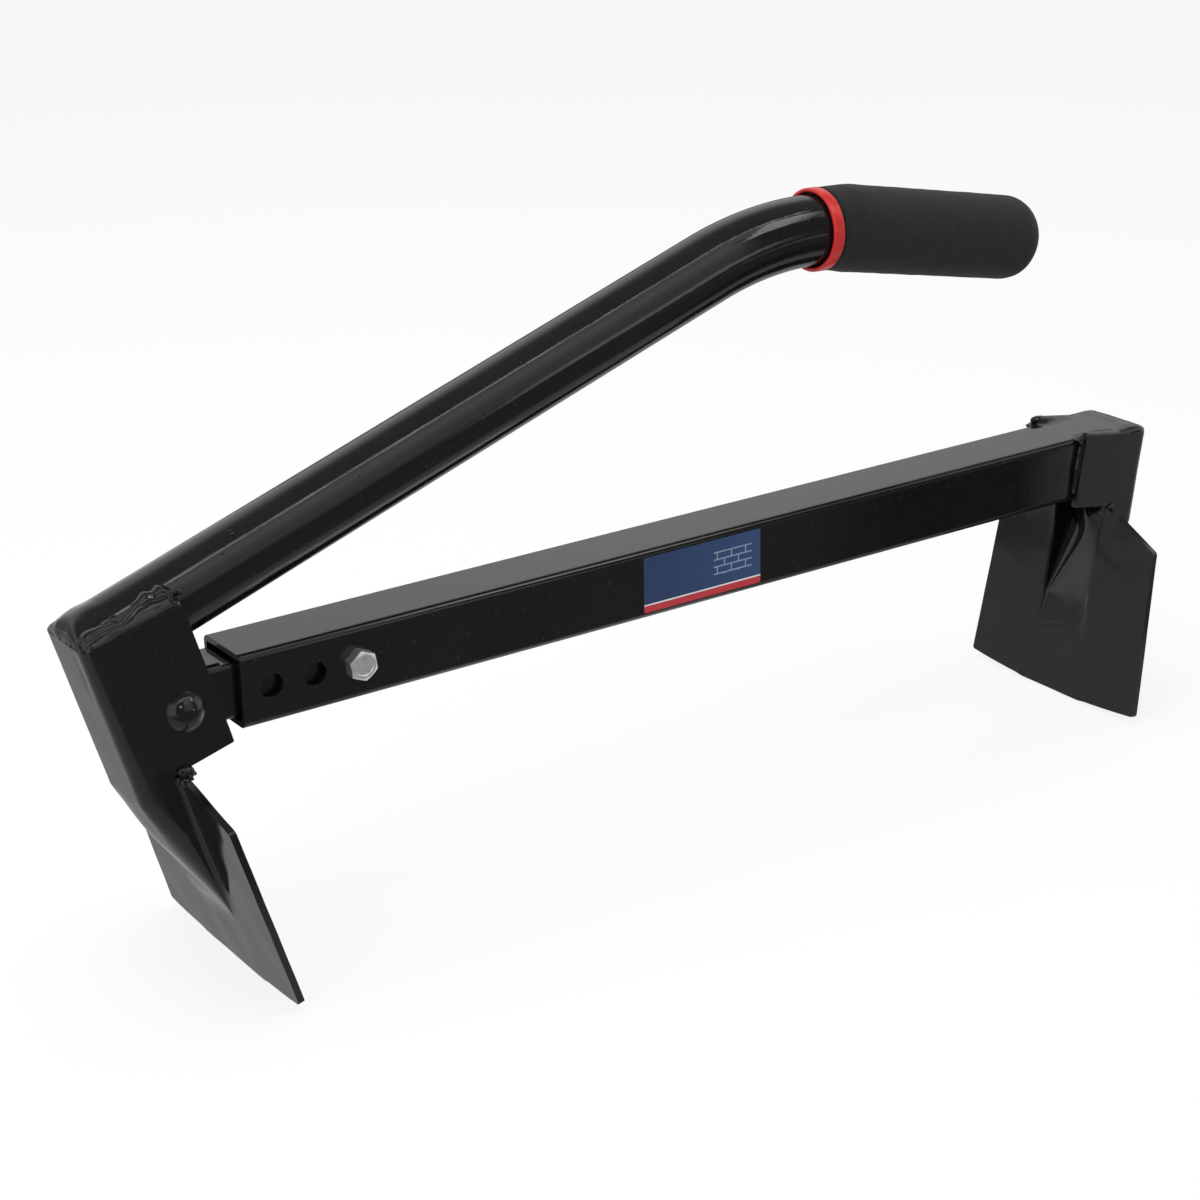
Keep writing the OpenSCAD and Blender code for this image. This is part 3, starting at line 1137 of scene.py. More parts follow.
# ----------------------------------------------------------------------- handle


@dataclass
class Handle:
    """The bent tube, its foam grip and the collar before the grip."""

    layout: Layout
    paint: BlackPaint
    foam: GripFoam
    plastic: RedPlastic
    faces: int = 96
    tube_start: float = -27.48
    tube_end: float = 140.0
    straight_rings: int = 40
    bend_rings: int = 24
    end_rings: int = 6
    specks: tuple[tuple[float, float, float], ...] = (
        (38.0, 60.0, 0.8), (30.0, 42.0, 0.5), (95.0, 35.0, 0.45), (150.0, 75.0, 0.4),
    )
    grip_r: float = 19.75
    grip_start_r: float = 18.6
    grip_lap: float = 18.5
    grip_round: float = 14.0
    grip_reach: float = 150.5
    grip_swell: float = 16.0
    grip_lip: tuple[tuple[float, float], ...] = ((0.25, 2.2), (0.0, 1.2), (0.35, 0.35), (1.2, 0.0))
    grip_rings: int = 60
    end_faces: int = 15
    collar_r: float = 18.75
    collar_bore: float = 16.8
    collar_w: float = 6.0
    collar_edge: float = 0.91

    def bend_end(self) -> float:
        """The way along the axis to the end of the bend."""
        return self.layout.bend_start() + self.layout.bend_length()

    def after_corner(self, reach: float) -> float:
        """The way along the axis of a reach beyond the corner of the bend."""
        return self.bend_end() + reach - (self.layout.handle_len - self.layout.bend_start())

    def build(self) -> None:
        """Make the tube, the foam and the collar."""
        self.tube()
        self.grip()
        self.collar()

    def tube(self) -> None:
        """Sweep the tube along its bent axis, and set a few specks on it."""
        layout, radius, ways = self.layout, self.layout.handle_d / 2, [self.tube_start]
        for end, count in (
            (layout.bend_start(), self.straight_rings),
            (self.bend_end(), self.bend_rings),
            (self.after_corner(self.tube_end), self.end_rings),
        ):
            start = ways[-1]
            ways += [blend(start, end, step / count) for step in range(1, count + 1)]
        mesh = swept([layout.ring(way, radius) for way in ways], self.faces)
        for way, turn, size in self.specks:
            spot = layout.on_handle(way) @ rotation(90.0 - turn, "X") @ Vector((0.0, 0.0, radius))
            ball(mesh, spot, size, (1.3, 1.0, 1.0))
        put("handle_tube_bent", mesh, Matrix(), Body.LEVER, Slot.BLACK, self.paint, ["handle_tube"])

    def grip(self) -> None:
        """Sweep the foam sleeve with its closed round end."""
        start, end = self.bend_end() - self.grip_lap, self.after_corner(self.grip_reach)
        rings = [(start + way, self.grip_start_r - sink) for way, sink in self.grip_lip]
        lip, length = self.grip_lip[-1][0], end - self.grip_round - start
        for step in range(1, self.grip_rings + 1):
            way = blend(lip, length, step / self.grip_rings)
            rings.append((start + way, blend(self.grip_start_r, self.grip_r, smooth(way / self.grip_swell))))
        for step in range(1, self.end_faces):
            turn = math.pi / 2 * step / self.end_faces
            way = end - self.grip_round * (1 - math.sin(turn))
            rings.append((way, self.grip_r - self.grip_round * (1 - math.cos(turn))))
        rings += [(end + 0.05, (self.grip_r - self.grip_round) * share) for share in (0.8, 0.5, 0.2)]
        mesh = swept([self.layout.ring(way, radius) for way, radius in rings], self.faces)
        roughen(mesh, 0.16, 7.0, 4.0)
        roughen(mesh, 0.05, 1.8, 9.0)
        piece = put(
            "foam_grip_sleeve", mesh, Matrix(), Body.LEVER, Slot.FOAM, self.foam, ["foam_grip"], 70.0
        )

    def collar(self) -> None:
        """Spin the collar's rounded section round the tube."""
        half, low, high = self.collar_w / 2, self.collar_bore, self.collar_r
        seat = half * (1 + high / self.layout.bend_r) + 0.1
        where = self.layout.on_handle(self.bend_end() - self.grip_lap - seat)
        mesh = bmesh.new()
        corners = ((-half, low), (half, low), (half, high), (-half, high))
        section = mesh.faces.new([mesh.verts.new((x, 0.0, radius)) for x, radius in corners])
        rounded(mesh, list(section.verts), self.collar_edge, 6, "VERTICES")
        bmesh.ops.delete(mesh, geom=list(mesh.faces), context="FACES_ONLY")
        spin_round(mesh, list(mesh.edges) + list(mesh.verts), (1, 0, 0), self.faces)
        roughen(mesh, 0.12, 5.0, 2.0)
        put("grip_collar_ring", mesh, where, Body.LEVER, Slot.RED, self.plastic, ["grip_collar"], 60.0)


# -------------------------------------------------------------------- fasteners


@dataclass
class Fasteners:
    """The cross bolt with its washer and nut, and the rivet of the pivot."""

    layout: Layout
    zinc: ZincPlate
    paint: BlackPaint
    flats: float = 11.9
    head_h: float = 5.3
    nut_h: float = 6.5
    shank_d: float = 8.0
    washer_d: float = 17.0
    washer_t: float = 1.6
    rivet_d: float = 10.0
    rivet_head: float = 18.0
    rivet_h: float = 6.0

    def build(self) -> None:
        """Make the bolt, the washer, the nut and the rivet."""
        layout, face = self.layout, self.layout.outer_w / 2
        front = Matrix.Translation((layout.bolt_x, -face, layout.bar_z)) @ rotation(90.0, "X")
        rear = Matrix.Translation((layout.bolt_x, face, layout.bar_z)) @ rotation(-90.0, "X")
        head, nut = self.hexagon(self.head_h, 0.0), self.hexagon(self.nut_h, self.bore())
        self.shank(head, -layout.outer_w - self.washer_t - self.nut_h - 2.0)
        for node, form, mesh, where in (
            ("adjuster_bolt", "hex", head, front),
            ("adjuster_washer", "ring", self.washer(), rear),
            ("adjuster_nut", "hex", nut, rear @ Matrix.Translation((0, 0, self.washer_t))),
        ):
            put(f"{node}_{form}", mesh, where, Body.BAR, Slot.ZINC, self.zinc, [node], 25.0)
        self.rivet()

    def bore(self) -> float:
        """The radius of the holes that the bolt fills."""
        return self.shank_d / 2 + 0.05

    def hexagon(self, height: float, bore: float) -> Mesh:
        """A chamfered hexagon along z from 0, solid or bored.

        Args:
            height: Its height.
            bore: The radius of its bore, or 0.

        Returns:
            The mesh.
        """
        mesh = bmesh.new()
        corner = self.flats / 2 / math.cos(math.radians(30.0))
        bmesh.ops.create_circle(mesh, cap_ends=True, segments=6, radius=corner)
        turn = Matrix.Rotation(math.radians(8.0), 3, "Z")
        bmesh.ops.rotate(mesh, cent=(0, 0, 0), matrix=turn, verts=mesh.verts)
        bmesh.ops.subdivide_edges(mesh, edges=list(mesh.edges), cuts=7, use_grid_fill=False)
        made = bmesh.ops.extrude_face_region(mesh, geom=list(mesh.faces))["geom"]
        top = verts_in(made)
        bmesh.ops.translate(mesh, vec=(0, 0, height), verts=top)
        rim = self.flats / 2 * 0.88
        for vert in top:
            over = math.hypot(vert.co.x, vert.co.y) - rim
            vert.co.z -= 0.55 * max(over, 0.0)
        lid = [item for item in made if isinstance(item, bmesh.types.BMFace)]
        inner = [(rim - 1.0, height), (rim - 1.35, height - 0.5)]
        if bore:
            inner = [(bore + 0.6, height), (bore, height - 0.6)]
        for radius, level in [(rim, height), *inner]:
            bmesh.ops.inset_region(mesh, faces=lid, thickness=0.2, depth=0.0)
            for vert in {vert for face in lid for vert in face.verts}:
                flat = Vector((vert.co.x, vert.co.y, 0.0)).normalized() * radius
                vert.co = Vector((flat.x, flat.y, level))
        face_outwards(mesh)
        return mesh

    def shank(self, mesh: Mesh, reach: float) -> None:
        """Add the bolt's shank with a chamfered tip and its thread rings to the head.

        Args:
            mesh: The head.
            reach: Where the shank ends along z.
        """
        radius = self.shank_d / 2
        rod = bmesh.ops.create_cone(
            mesh,
            cap_ends=True,
            segments=40,
            radius1=radius,
            radius2=radius,
            depth=-reach,
            matrix=Matrix.Translation((0, 0, reach / 2)),
        )["verts"]
        edges = {edge for vert in rod for edge in vert.link_edges}
        lines = [edge for edge in edges if abs(edge.verts[0].co.z - edge.verts[1].co.z) > 1]
        cuts = bmesh.ops.subdivide_edges(mesh, edges=lines, cuts=75)["geom_inner"]
        for item in verts_in(cuts):
            if item.co.z < -self.layout.outer_w + 4.0:
                step = round((item.co.z - reach) / (-reach / 76))
                share = 0.88 if step % 2 else 1.0
                share = min(share, 0.80 + 0.2 * (item.co.z - reach))
                item.co.x *= share
                item.co.y *= share

    def washer(self) -> Mesh:
        """A flat ring with rounded edges along z from 0.

        Returns:
            The mesh.
        """
        inner, outer, edge = self.bore(), self.washer_d / 2, 0.3
        profile = [
            (inner, 0.0), (outer - edge, 0.0), (outer, edge), (outer, self.washer_t - edge),
            (outer - edge, self.washer_t), (inner + edge, self.washer_t), (inner, self.washer_t - edge),
        ]
        return self.turned(profile, True)

    def turned(self, profile: Sequence[tuple[float, float]], ring: bool) -> Mesh:
        """Spin a profile about z.

        Args:
            profile: Its (radius, z) points, in order.
            ring: Whether the profile is closed.

        Returns:
            The mesh.
        """
        mesh = bmesh.new()
        verts = [mesh.verts.new((radius, 0.0, z)) for radius, z in profile]
        pairs = list(zip(verts, verts[1:])) + ([(verts[-1], verts[0])] if ring else [])
        edges = [mesh.edges.new(pair) for pair in pairs]
        spin_round(mesh, verts + edges, (0, 0, 1), 72)
        return mesh

    def rivet(self) -> None:
        """Turn the rivet with its two domed heads."""
        reach, dome = self.layout.channel_out, self.rivet_head / 2
        radius = (dome * dome + self.rivet_h * self.rivet_h) / (2 * self.rivet_h)
        profile: list[tuple[float, float]] = []
        for step in range(17):
            z = self.rivet_h * (1 - (step / 16) ** 1.6)
            profile.append((math.sqrt(max(radius ** 2 - (z + radius - self.rivet_h) ** 2, 0.0)), reach + z))
        profile += [(dome - 0.15, reach - 0.12), (self.rivet_d / 2, reach - 0.12)]
        profile += [(r, -z) for r, z in reversed(profile)]
        mesh = self.turned(profile, False)
        roughen(mesh, 0.10, 6.0, 5.0)
        where = self.layout.lever() @ rotation(90.0, "X")
        put("pivot_rivet_dome", mesh, where, Body.LEVER, Slot.BLACK, self.paint, ["pivot_rivet"], 50.0)


# ------------------------------------------------------------------------ welds

OUTSIDE = 0.7  # The share of a bead's way around that lies on its outside.


@dataclass
class Welds:
    """The weld beads, painted over: lumpy runs along the plate edges, a cap on the tube's end, and spots."""

    layout: Layout
    paint: BlackPaint
    contour: tuple[tuple[float, float], ...] = (
        (0.0, 46.0), (0.10, 51.0), (0.24, 49.0), (0.33, 44.0), (0.42, 36.0), (0.52, 42.0),
        (0.66, 52.0), (0.76, 57.0), (0.84, 52.0), (0.91, 56.0), (0.97, 50.0), (1.0, 42.0),
    )

    def build(self) -> None:
        """Make the welds of the lever and of the fixed jaw."""
        for side in Side:
            name = side.name.lower()
            self.lay(f"handle_weld_{name}_run", self.side_run(side), Body.LEVER, [f"handle_weld_{name}"])
            spot = self.notch_spot(side, 1.0)
            self.lay(f"notch_weld_{name}_spot", spot, Body.LEVER, [f"notch_weld_{name}"])
            self.lay(f"fixed_weld_{name}_run", self.upright(side), Body.BAR, [f"fixed_weld_{name}"])
            self.lay(f"fixed_notch_{name}_spot", self.notch_spot(side, 0.5), Body.BAR)
        self.lay("handle_weld_end_cap", self.end_cap(), Body.LEVER, ["handle_weld_end"])
        self.lay("fixed_weld_top_run", self.top_run(), Body.BAR, ["fixed_weld_top"])

    def lay(self, name: str, mesh: Mesh, body: Body, stands_for: Sequence[str] = ()) -> None:
        """Put a weld in the frame of the jaw on a body."""
        put(name, mesh, self.layout.jaw(body), body, Slot.BLACK, self.paint, stands_for, 75.0)

    def on_tube(self, x: float, angle: float, radius: float) -> Vector:
        """A point round the tube's axis, in the lever's frame.

        Args:
            x: Its place along the frame's x.
            angle: Its angle above the front, in radians.
            radius: Its distance from the axis.

        Returns:
            The point.
        """
        size, tilt = self.layout, math.radians(self.layout.lever_tilt)
        lean = math.tan(math.radians(size.handle_angle - size.lever_tilt))
        axis = size.handle_rise * math.cos(tilt) + (x - size.handle_rise * math.sin(tilt)) * lean
        return Vector((x, -radius * math.cos(angle), axis + radius * math.sin(angle)))

    def fold_y(self, x: float) -> float:
        """Half a channel's outer width at x, which follows the folds in plan."""
        into = min(max(self.layout.fold_r - self.layout.web - x, 0.0), self.layout.fold_r - 0.2)
        return self.layout.channel_out - self.layout.fold_r + math.sqrt(self.layout.fold_r ** 2 - into ** 2)

    def fold_x(self, y: float) -> float:
        """A web's outer face at y, which follows the folds in plan."""
        over = min(max(abs(y) - self.layout.channel_out + self.layout.fold_r, 0.0), self.layout.fold_r - 0.2)
        return self.layout.fold_r - self.layout.web - math.sqrt(self.layout.fold_r ** 2 - over ** 2)

    def curl(self, mesh: Mesh, where: Matrix, ring: float, wire: float, turn: float) -> None:
        """Add a curled lip of weld: a thin round wire bent about z.

        Args:
            mesh: The mesh that takes it.
            where: Its place.
            ring: The radius of the bend.
            wire: The radius of the wire.
            turn: How far it bends, in degrees.
        """
        upright = Matrix.Translation((ring, 0, 0)) @ rotation(90.0, "X")
        made = bmesh.ops.create_circle(
            mesh, cap_ends=True, segments=12, radius=wire, matrix=upright
        )["verts"]
        faces = list({face for vert in made for face in vert.link_faces})
        before = set(mesh.verts) - set(made)
        bmesh.ops.spin(mesh, geom=faces, cent=(0, 0, 0), axis=(0, 0, 1), angle=math.radians(turn), steps=26)
        bmesh.ops.transform(mesh, matrix=where, verts=[vert for vert in mesh.verts if vert not in before])

    def side_run(self, side: Side) -> Mesh:
        """The thick wavy run between a side wall's top edge and the tube.

        Args:
            side: The side wall.

        Returns:
            The mesh, in the lever's frame.
        """
        layout, seed = self.layout, 3.0 * side.value
        top, radius = layout.lever_rise, layout.handle_d / 2

        def place(around: float, along: float) -> Vector:
            """A point of the run: over its outside first, back inside the joint after.

            Args:
                around: The share of the way around.
                along: The share of the way along.

            Returns:
                The point.
            """
            x = blend(-27.4 if side is Side.FRONT else -23.5, 14.0, along)
            turn = along_stops(self.contour, along) * (1.0 if side is Side.FRONT else 0.42)
            angle = math.radians(turn + 1.5 * lumps(x / 11.0, seed, 0.0))
            low = Vector((x, 0.1 - self.fold_y(x), top - 0.25 + 0.3 * lumps(x / 5, 7.0, seed)))
            high = self.on_tube(x, angle, radius * 0.99)
            end = min(smooth(along / 0.05), smooth((1.0 - along) / 0.07))
            chord = high - low
            out = Vector((0.0, -chord.z, chord.y)).normalized()
            out = -out if out.y > 0 else out
            if around < OUTSIDE:
                share = around / OUTSIDE
                swell = 2.5 * math.sin(math.pi * share) ** 0.55
                groove = 0.56 + 0.10 * math.sin(x / 6.5 + 2.0) + 0.06 * lumps(x / 11.0, 4.0, seed)
                swell -= 0.95 * math.exp(-(((share - groove) / 0.13) ** 2))
                swell *= 1.0 + 0.20 * lumps(x / 10.0, 2.0 * share, seed)
                return low + chord * share + out * swell * (0.25 + 0.75 * end)
            share = (around - OUTSIDE) / (1.0 - OUTSIDE)
            return high - chord * share - out * 2.2 * math.sin(math.pi * share)

        mesh = closed_bead(70, 150, place)
        roughen(mesh, 0.22, 8.0, seed)
        if side is Side.FRONT:
            lip = Matrix.Translation((13.6, -17.7, top + 3.0)) @ rotation(68.0, "X")
            self.curl(mesh, lip, 2.5, 0.95, 250.0)
            pit = Matrix.Translation(self.on_tube(-11.0, math.radians(44.0), radius)) @ rotation(48.0, "X")
            self.curl(mesh, pit, 1.3, 0.55, 300.0)
        face_outwards(mesh)
        if side is Side.REAR:
            bmesh.ops.scale(mesh, vec=(1, -1, 1), verts=mesh.verts)
            bmesh.ops.reverse_faces(mesh, faces=mesh.faces)
        return mesh

    def end_cap(self) -> Mesh:
        """The rounded fill over the tube's end, above the web's top edge.

        Returns:
            The mesh, in the lever's frame.
        """
        layout = self.layout
        top, radius = layout.lever_rise, layout.handle_d / 2

        def place(around: float, along: float) -> Vector:
            """A point of the cap: over its outside first, back inside the tube after.

            Args:
                around: The share of the way around.
                along: The share of the way along.

            Returns:
                The point.
            """
            angle = math.radians(blend(9.0, 171.0, along))
            across = -18.7 * math.cos(angle)
            foot = Vector((self.fold_x(across) + 0.15, across, top - 0.3))
            high = self.on_tube(-12.5 + 3.0 * lumps(along * 4.0, 0.3, 1.7), angle, radius)
            high.z = max(high.z, top - 0.2)
            crown = Vector((foot.x - 0.2, 0.97 * across, blend(top, high.z, 1.02) + 0.6))
            if around < OUTSIDE:
                share = around / OUTSIDE
                return foot.lerp(crown, share).lerp(crown.lerp(high, share), share)
            share = (around - OUTSIDE) / (1.0 - OUTSIDE)
            return high.lerp(foot, share) + Vector((2.5, 0.0, -2.0)) * math.sin(math.pi * share)

        mesh = closed_bead(30, 64, place)
        roughen(mesh, 0.50, 7.0, 1.0)
        roughen(mesh, 0.08, 2.4, 6.0)
        for step, across in enumerate((-15.5, -12.4, -9.6, -6.8, -3.2, 3.0)):
            spot = Vector((self.fold_x(across) + 0.8, across, top + 0.5))
            ball(mesh, spot, 1.35 - 0.12 * (step % 3), (0.8, 1.1, 0.7))
        face_outwards(mesh)
        return mesh

    def notch_spot(self, side: Side, size: float) -> Mesh:
        """The spot of weld in the notch under a side wall.

        Args:
            side: The side wall.
            size: Its scale.

        Returns:
            The mesh, in a jaw's frame.
        """
        layout, mesh = self.layout, bmesh.new()
        out = side.value * (layout.channel_out + 0.4)
        spot = Vector((layout.blade_out + 3.6 * size, out, -layout.ear_drop - 1.3 * size))
        for x, y, z, radius in (
            (0.0, 0.0, 0.0, 2.9), (-2.6, 1.6, -2.6, 2.2), (-2.0, 0.3, 1.8, 1.6),
            (2.6, 0.6, -1.6, 0.8), (0.4, 2.2, -2.4, 0.7), (1.4, 1.6, 0.9, 0.6),
        ):
            ball(mesh, spot + size * Vector((x, side.value * y, z)), size * radius, (1.1, 1.0, 1.1))
        roughen(mesh, 0.35, 1.8, 4.0 + side.value)
        return mesh

    def upright(self, side: Side) -> Mesh:
        """The upright run between the bar and a side wall's free edge.

        Args:
            side: The side wall.

        Returns:
            The mesh, in the fixed jaw's frame.
        """
        middle = Vector((self.layout.ear_front + 0.5, side.value * 17.1, 0.0))

        def place(around: float, along: float) -> Vector:
            """A point of the run.

            Args:
                around: The share of the way around.
                along: The share of the way along.

            Returns:
                The point.
            """
            turn = 2.0 * math.pi * around
            end = math.sin(math.pi * limit(along)) ** 0.25
            radius = (2.1 + 0.10 * math.sin(along * 17.0)) * max(end, 0.05)
            spoke = Vector((radius * math.cos(turn), 0.95 * radius * math.sin(turn), 0.0))
            return middle + spoke + Vector((0.0, 0.0, blend(-15.5, 12.0, along)))

        mesh = closed_bead(28, 60, place)
        roughen(mesh, 0.09, 5.0, 2.0 * side.value)
        return mesh

    def top_run(self) -> Mesh:
        """The broad smooth weld over the fixed jaw's top edges and the end of the bar.

        Returns:
            The mesh, in the fixed jaw's frame.
        """
        layout = self.layout
        lean = math.radians(layout.fixed_tilt)
        bar_top = layout.bar_z + layout.outer_w / 2 - layout.fixed_z

        def height(x: float, y: float) -> float:
            """The weld's height at a place in plan.

            Args:
                x: The place along the bar.
                y: The place across it.

            Returns:
                The height.
            """
            flat = (bar_top - x * math.sin(lean)) / math.cos(lean) - 0.12 + 0.28 * smooth((-x - 11.0) / 9.0)
            off = min(abs(y) - 17.8, 0.0) / 4.6
            roll = max(layout.fixed_rise + 1.4 - flat, 0.0) * math.exp(-off * off)
            top = flat + roll * smooth((18.3 - x) / (4.6 if y < 0 else 9.0))
            from_side = max(self.fold_y(x) - 0.1 - abs(y), 0.0)
            from_web = 0.5 * max(x + layout.web - 0.2, 0.0)
            inside = from_side * from_web / (math.hypot(from_side, from_web) + 1e-6)
            share = min(inside / 4.2, 1.0)
            low = min(layout.fixed_rise - 0.5, top - 0.8)
            return blend(low, top, math.sqrt(1.0 - (1.0 - share) ** 2))

        def place(across: float, along: float) -> Vector:
            """A point of the weld's upper face.

            Args:
                across: The share of the way across the bar.
                along: The share of the way out to the web.

            Returns:
                The point.
            """
            x = blend(18.3, -layout.web + 0.25, along)
            y = math.sin(math.pi * (across - 0.5)) * (self.fold_y(x) - 0.1)
            return Vector((x, y, height(x, y) + 0.18 * lumps(x / 8, y / 8, 5.0)))

        mesh = grid(90, 84, place)
        made = bmesh.ops.extrude_edge_only(mesh, edges=open_edges(mesh))["geom"]
        for vert in verts_in(made):
            x, y, z = vert.co
            vert.co = Vector((blend(x, -7.0, 0.06), y * 0.93, min(z, layout.fixed_rise) - 2.4))
        close_holes(mesh, open_edges(mesh))
        ball(mesh, Vector((-25.0, -17.6, 12.6)), 1.7, (1.0, 0.9, 1.4))
        ball(mesh, Vector((11.0, 17.2, 13.6)), 2.4, (2.6, 1.1, 0.95))
        return mesh


# ------------------------------------------------------------------------ label


@dataclass
class Label:
    """The printed film on the front of the outer bar."""

    layout: Layout
    length: float = 65.0
    height: float = 26.0
    at: float = 198.0
    film: float = 0.15
    corner: float = 0.8

    def build(self) -> None:
        """Make the film with rounded corners."""
        x, z = self.layout.mouth_x + self.at + self.length / 2, self.layout.bar_z
        mesh = bmesh.new()
        bmesh.ops.create_grid(mesh, x_segments=1, y_segments=1, size=0.5)
        bmesh.ops.scale(mesh, vec=(self.length, self.height, 1.0), verts=mesh.verts)
        rounded(mesh, list(mesh.verts), self.corner, 5, "VERTICES")
        made = bmesh.ops.extrude_face_region(mesh, geom=list(mesh.faces))["geom"]
        bmesh.ops.translate(mesh, vec=(0.0, 0.0, self.film), verts=verts_in(made))
        face_outwards(mesh)
        where = Matrix.Translation((x, -self.layout.outer_w / 2, z)) @ rotation(90.0, "X")
        film = LabelFilm("label_film_print", (x, z), self.length, self.height)
        put("label_plate_film", mesh, where, Body.BAR, Slot.LABEL, film, ["label_plate"], 30.0)


# ------------------------------------------------------------------------ stage


Spot = tuple[float, float, float]
Plan = tuple[float, float]


def level(low: Plan, high: Plan, z: float) -> tuple[Spot, ...]:
    """The corners of a level rectangle between two corners in plan."""
    return ((*low, z), (high[0], low[1], z), (*high, z), (low[0], high[1], z))


def upright(start: Plan, end: Plan, top: float) -> tuple[Spot, ...]:
    """The corners of an upright rectangle from the floor up, between two points in plan."""
    return ((*start, 0.0), (*end, 0.0), (*end, top), (*start, top))


@dataclass(frozen=True)
class Card:
    """A studio card that only gloss sees, in metres, with its grey and the changes of tone on it."""

    name: str
    corners: tuple[Spot, ...]
    base: float
    steps: tuple[Step, ...]

    def stand(self) -> None:
        """Stand the card in its place."""
        mesh = bmesh.new()
        mesh.faces.new([mesh.verts.new(corner) for corner in self.corners])
        card = add_mesh(self.name, mesh, CardTone(f"{self.name}_tone", self.base, self.steps))
        card.visible_camera = False
        card.visible_diffuse = False
        card.visible_transmission = False
        card.visible_shadow = False


AHEAD = ("Y", -0.13, -0.22)
WINDOW = (("X", -0.75, -0.45), ("X", 1.7, 1.3))
CARDS = (
    Card("low_card", level((-1.8, -2.6), (1.8, 1.3), 0.0006), 0.50, (
        Step(0.17, (AHEAD,)),
        Step(0.05, (AHEAD, ("XY", -0.02, 0.09))),
        Step(0.27, (AHEAD, ("XY", 0.186, 0.200))),
        Step(0.42, (AHEAD, ("XY", 0.213, 0.228))),
        Step(1.10, (("Y", -0.09, -0.07), ("Y", 0.02, 0.0), ("X", -0.12, -0.08), ("X", 0.12, 0.09))),
        Step(1.0, (("X", 1.0, 1.8),)),
        Step(1.0, (("X", -1.0, -1.8),)),
        Step(0.22, (("Y", 0.32, 0.44), ("X", -0.35, -0.25))),
        Step(1.0, (("Y", 0.9, 1.3),)),
    )),
    Card("over_card", level((-2.6, -0.45), (2.6, 1.7), 1.65), 0.24, (
        Step(1.0, (("Y", 0.55, 1.6),)),
        Step(1.0, (("X", 1.6, 2.6),)),
        Step(1.0, (("X", -1.6, -2.6),)),
    )),
    Card("front_card", upright((-3.5, -2.6), (3.5, -2.6), 4.3), 0.15, (
        Step(0.62, (*WINDOW, ("Z", 0.45, 1.0))),
        Step(1.15, (*WINDOW, ("Z", 1.4, 3.4))),
        Step(1.6, (("X", 0.90, 1.0), ("X", 2.1, 1.5), ("Z", 0.34, 0.42), ("Z", 0.80, 0.72))),
    )),
    Card("left_card", upright((-3.2, 0.8), (-0.45, 2.8), 1.5), 0.45, (
        Step(1.0, (("Z", 0.6, 1.5),)),
        Step(1.0, (("X", -0.9, -0.45),)),
    )),
    Card("edge_card", level((0.70, -1.15), (1.35, -0.47), 1.6), 3.6, (Step(0.3, (("X", 1.0, 1.35),)),)),
    Card("rear_card", upright((0.6, 3.0), (6.0, 3.0), 3.2), 1.0, (
        Step(0.86, (("X", 0.8, 1.3),)),
        Step(0.72, (("X", 1.9, 3.5),)),
        Step(0.25, (("Z", 1.15, 0.75),)),
    )),
)


@dataclass(frozen=True)
class Lamp:
    """A soft area lamp that looks at a point, in metres and watts."""

    name: str
    place: Spot
    target: Spot
    width: float
    height: float
    power: float
    in_gloss: bool = True

    def light(self) -> None:
        """Hang the lamp."""
        data = bpy.data.lights.new(self.name, "AREA")
        data.shape = "RECTANGLE"
        data.size, data.size_y, data.energy = self.width, self.height, self.power
        lamp = add_object(self.name, data)
        lamp.location = self.place
        way = Vector(self.target) - Vector(self.place)
        lamp.rotation_euler = way.to_track_quat("-Z", "Y").to_euler()
        lamp.visible_glossy = self.in_gloss


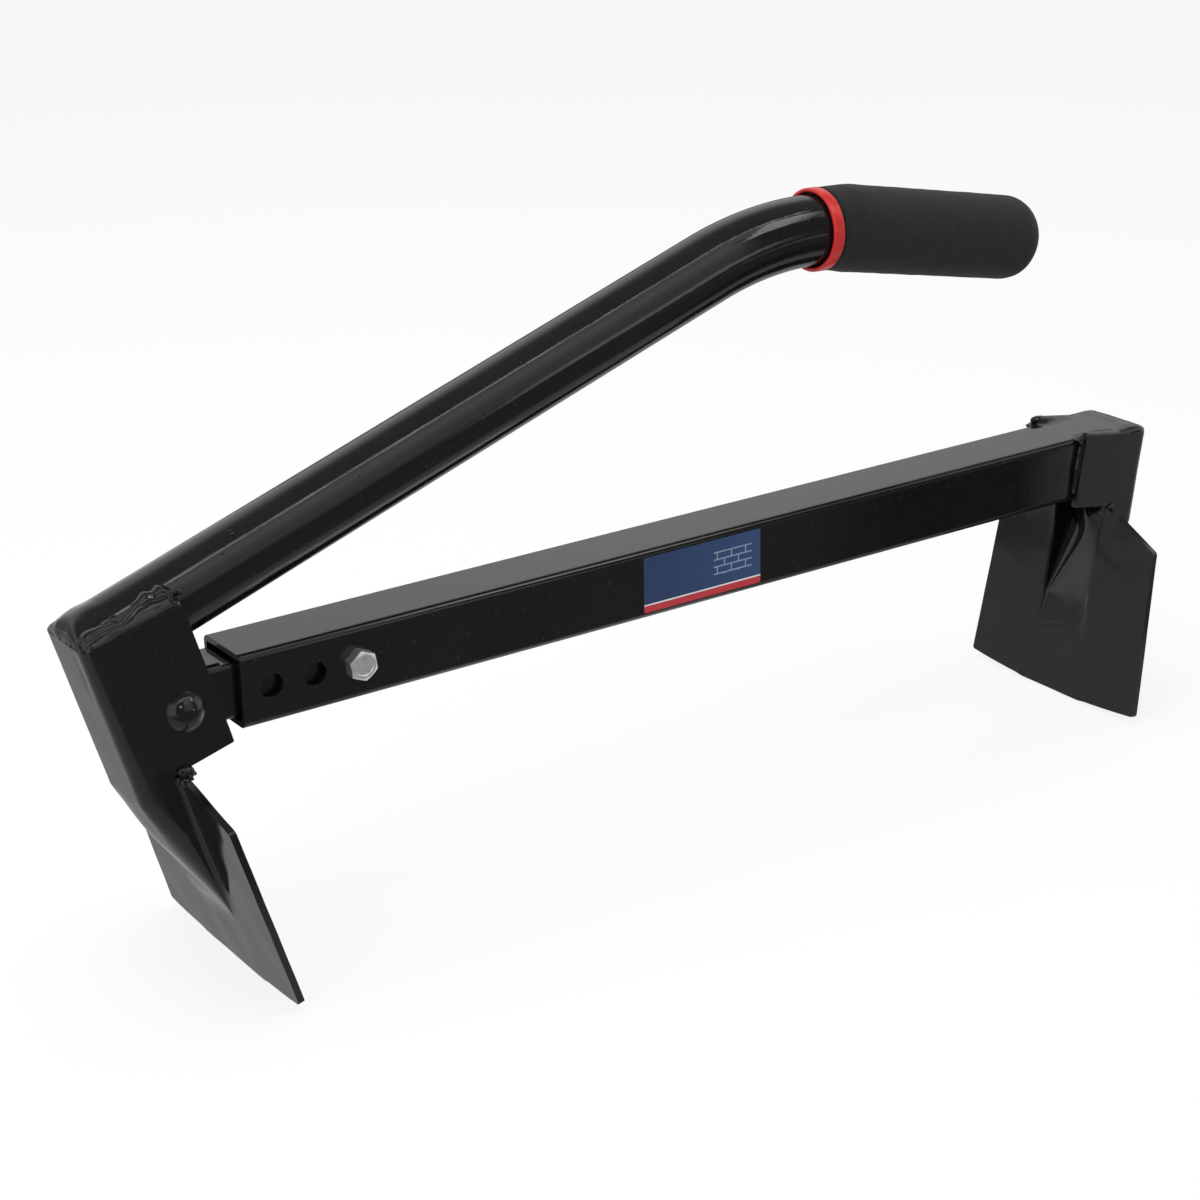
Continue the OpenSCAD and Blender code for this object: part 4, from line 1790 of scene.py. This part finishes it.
@dataclass
class Stage:
    """The floor, the cards, the lamps, the world and the camera of the photograph."""

    eye: Spot = (-630.84, -872.80, 524.48)
    yaw: float = 34.30
    pitch: float = 21.15
    roll: float = -1.21
    focal: float = 2548.2
    picture: float = 1200.0
    ambient: float = 0.45
    floor_half: float = 7.0
    floor_z: float = -0.0004
    cards: tuple[Card, ...] = CARDS
    lamps: tuple[Lamp, ...] = (
        Lamp("top_softbox", (-0.25, 0.10, 1.8), (0.0, 0.0, 0.1), 1.6, 1.3, 24.0, False),
        Lamp("left_softbox", (-1.7, -0.6, 1.1), (0.0, 0.0, 0.1), 0.7, 1.0, 9.0, False),
        Lamp("strip_lamp", (0.1, -0.49, 1.62), (0.0, 0.0, 0.15), 2.0, 0.05, 1.2),
        Lamp("spark_lamp", (-0.85, -1.3, 1.15), (-0.2, 0.0, 0.12), 0.16, 0.16, 1.0),
    )

    def build(self) -> None:
        """Set the whole stage."""
        self.world()
        self.floor()
        for card in self.cards:
            card.stand()
        for lamp in self.lamps:
            lamp.light()
        self.camera()
        bpy.context.scene.view_settings.view_transform = "Standard"

    def world(self) -> None:
        """A white surround to the eye and to gloss, with a dimmer light for matt surfaces."""
        world = bpy.data.worlds.new("white_surround")
        world.use_nodes = True
        bpy.context.scene.world = world
        sheet = NodeSheet(world.node_tree)
        tint = sheet.mix(seen(sheet), grey(self.ambient), grey(1.0))
        glow = sheet.node("ShaderNodeBackground", None, {"Color": tint, "Strength": 1.0})
        sheet.output(glow, "ShaderNodeOutputWorld")

    def floor(self) -> None:
        """Lay the pale floor."""
        mesh = bmesh.new()
        bmesh.ops.create_grid(mesh, x_segments=4, y_segments=4, size=self.floor_half)
        bmesh.ops.translate(mesh, vec=(0.0, 0.0, self.floor_z), verts=mesh.verts)
        add_mesh("floor", mesh, StageWhite("stage_white"))

    def camera(self) -> None:
        """Set the camera of the photograph, which is 1200 by 1200."""
        yaw, pitch, roll = (math.radians(angle) for angle in (self.yaw, self.pitch, self.roll))
        ahead = Vector((math.sin(yaw) * math.cos(pitch), math.cos(yaw) * math.cos(pitch), -math.sin(pitch)))
        right = Vector((math.cos(yaw), -math.sin(yaw), 0.0))
        down = ahead.cross(right)
        across = right * math.cos(roll) - down * math.sin(roll)
        below = right * math.sin(roll) + down * math.cos(roll)
        turn = Matrix((across, -below, -ahead)).transposed()
        data = bpy.data.cameras.new("photo_camera")
        data.sensor_width = 36.0
        data.lens = data.sensor_width * self.focal / self.picture
        data.clip_start, data.clip_end = 0.05, 60.0
        camera = add_object("photo_camera", data)
        camera.matrix_world = Matrix.Translation(Vector(self.eye) * MM) @ turn.to_4x4()
        bpy.context.scene.camera = camera


def main() -> None:
    """Build the stage and the sub-assemblies in order."""
    logging.basicConfig(level=logging.INFO, format="%(name)s: %(message)s")
    layout = Layout()
    paint = BlackPaint("black_powder_coat")
    Stage().build()
    Bars(layout, paint).build()
    for kind in JawKind:
        Jaw(kind, layout, paint).build()
    drawn = BlackPaint("black_tube_coat", streak=0.55, lean=layout.handle_angle)
    Handle(layout, drawn, GripFoam("grip_foam_rubber"), RedPlastic("red_moulding")).build()
    Fasteners(layout, ZincPlate("zinc_plate_bright"), paint).build()
    Welds(layout, paint).build()
    Label(layout).build()


if __name__ == "__main__":
    main()
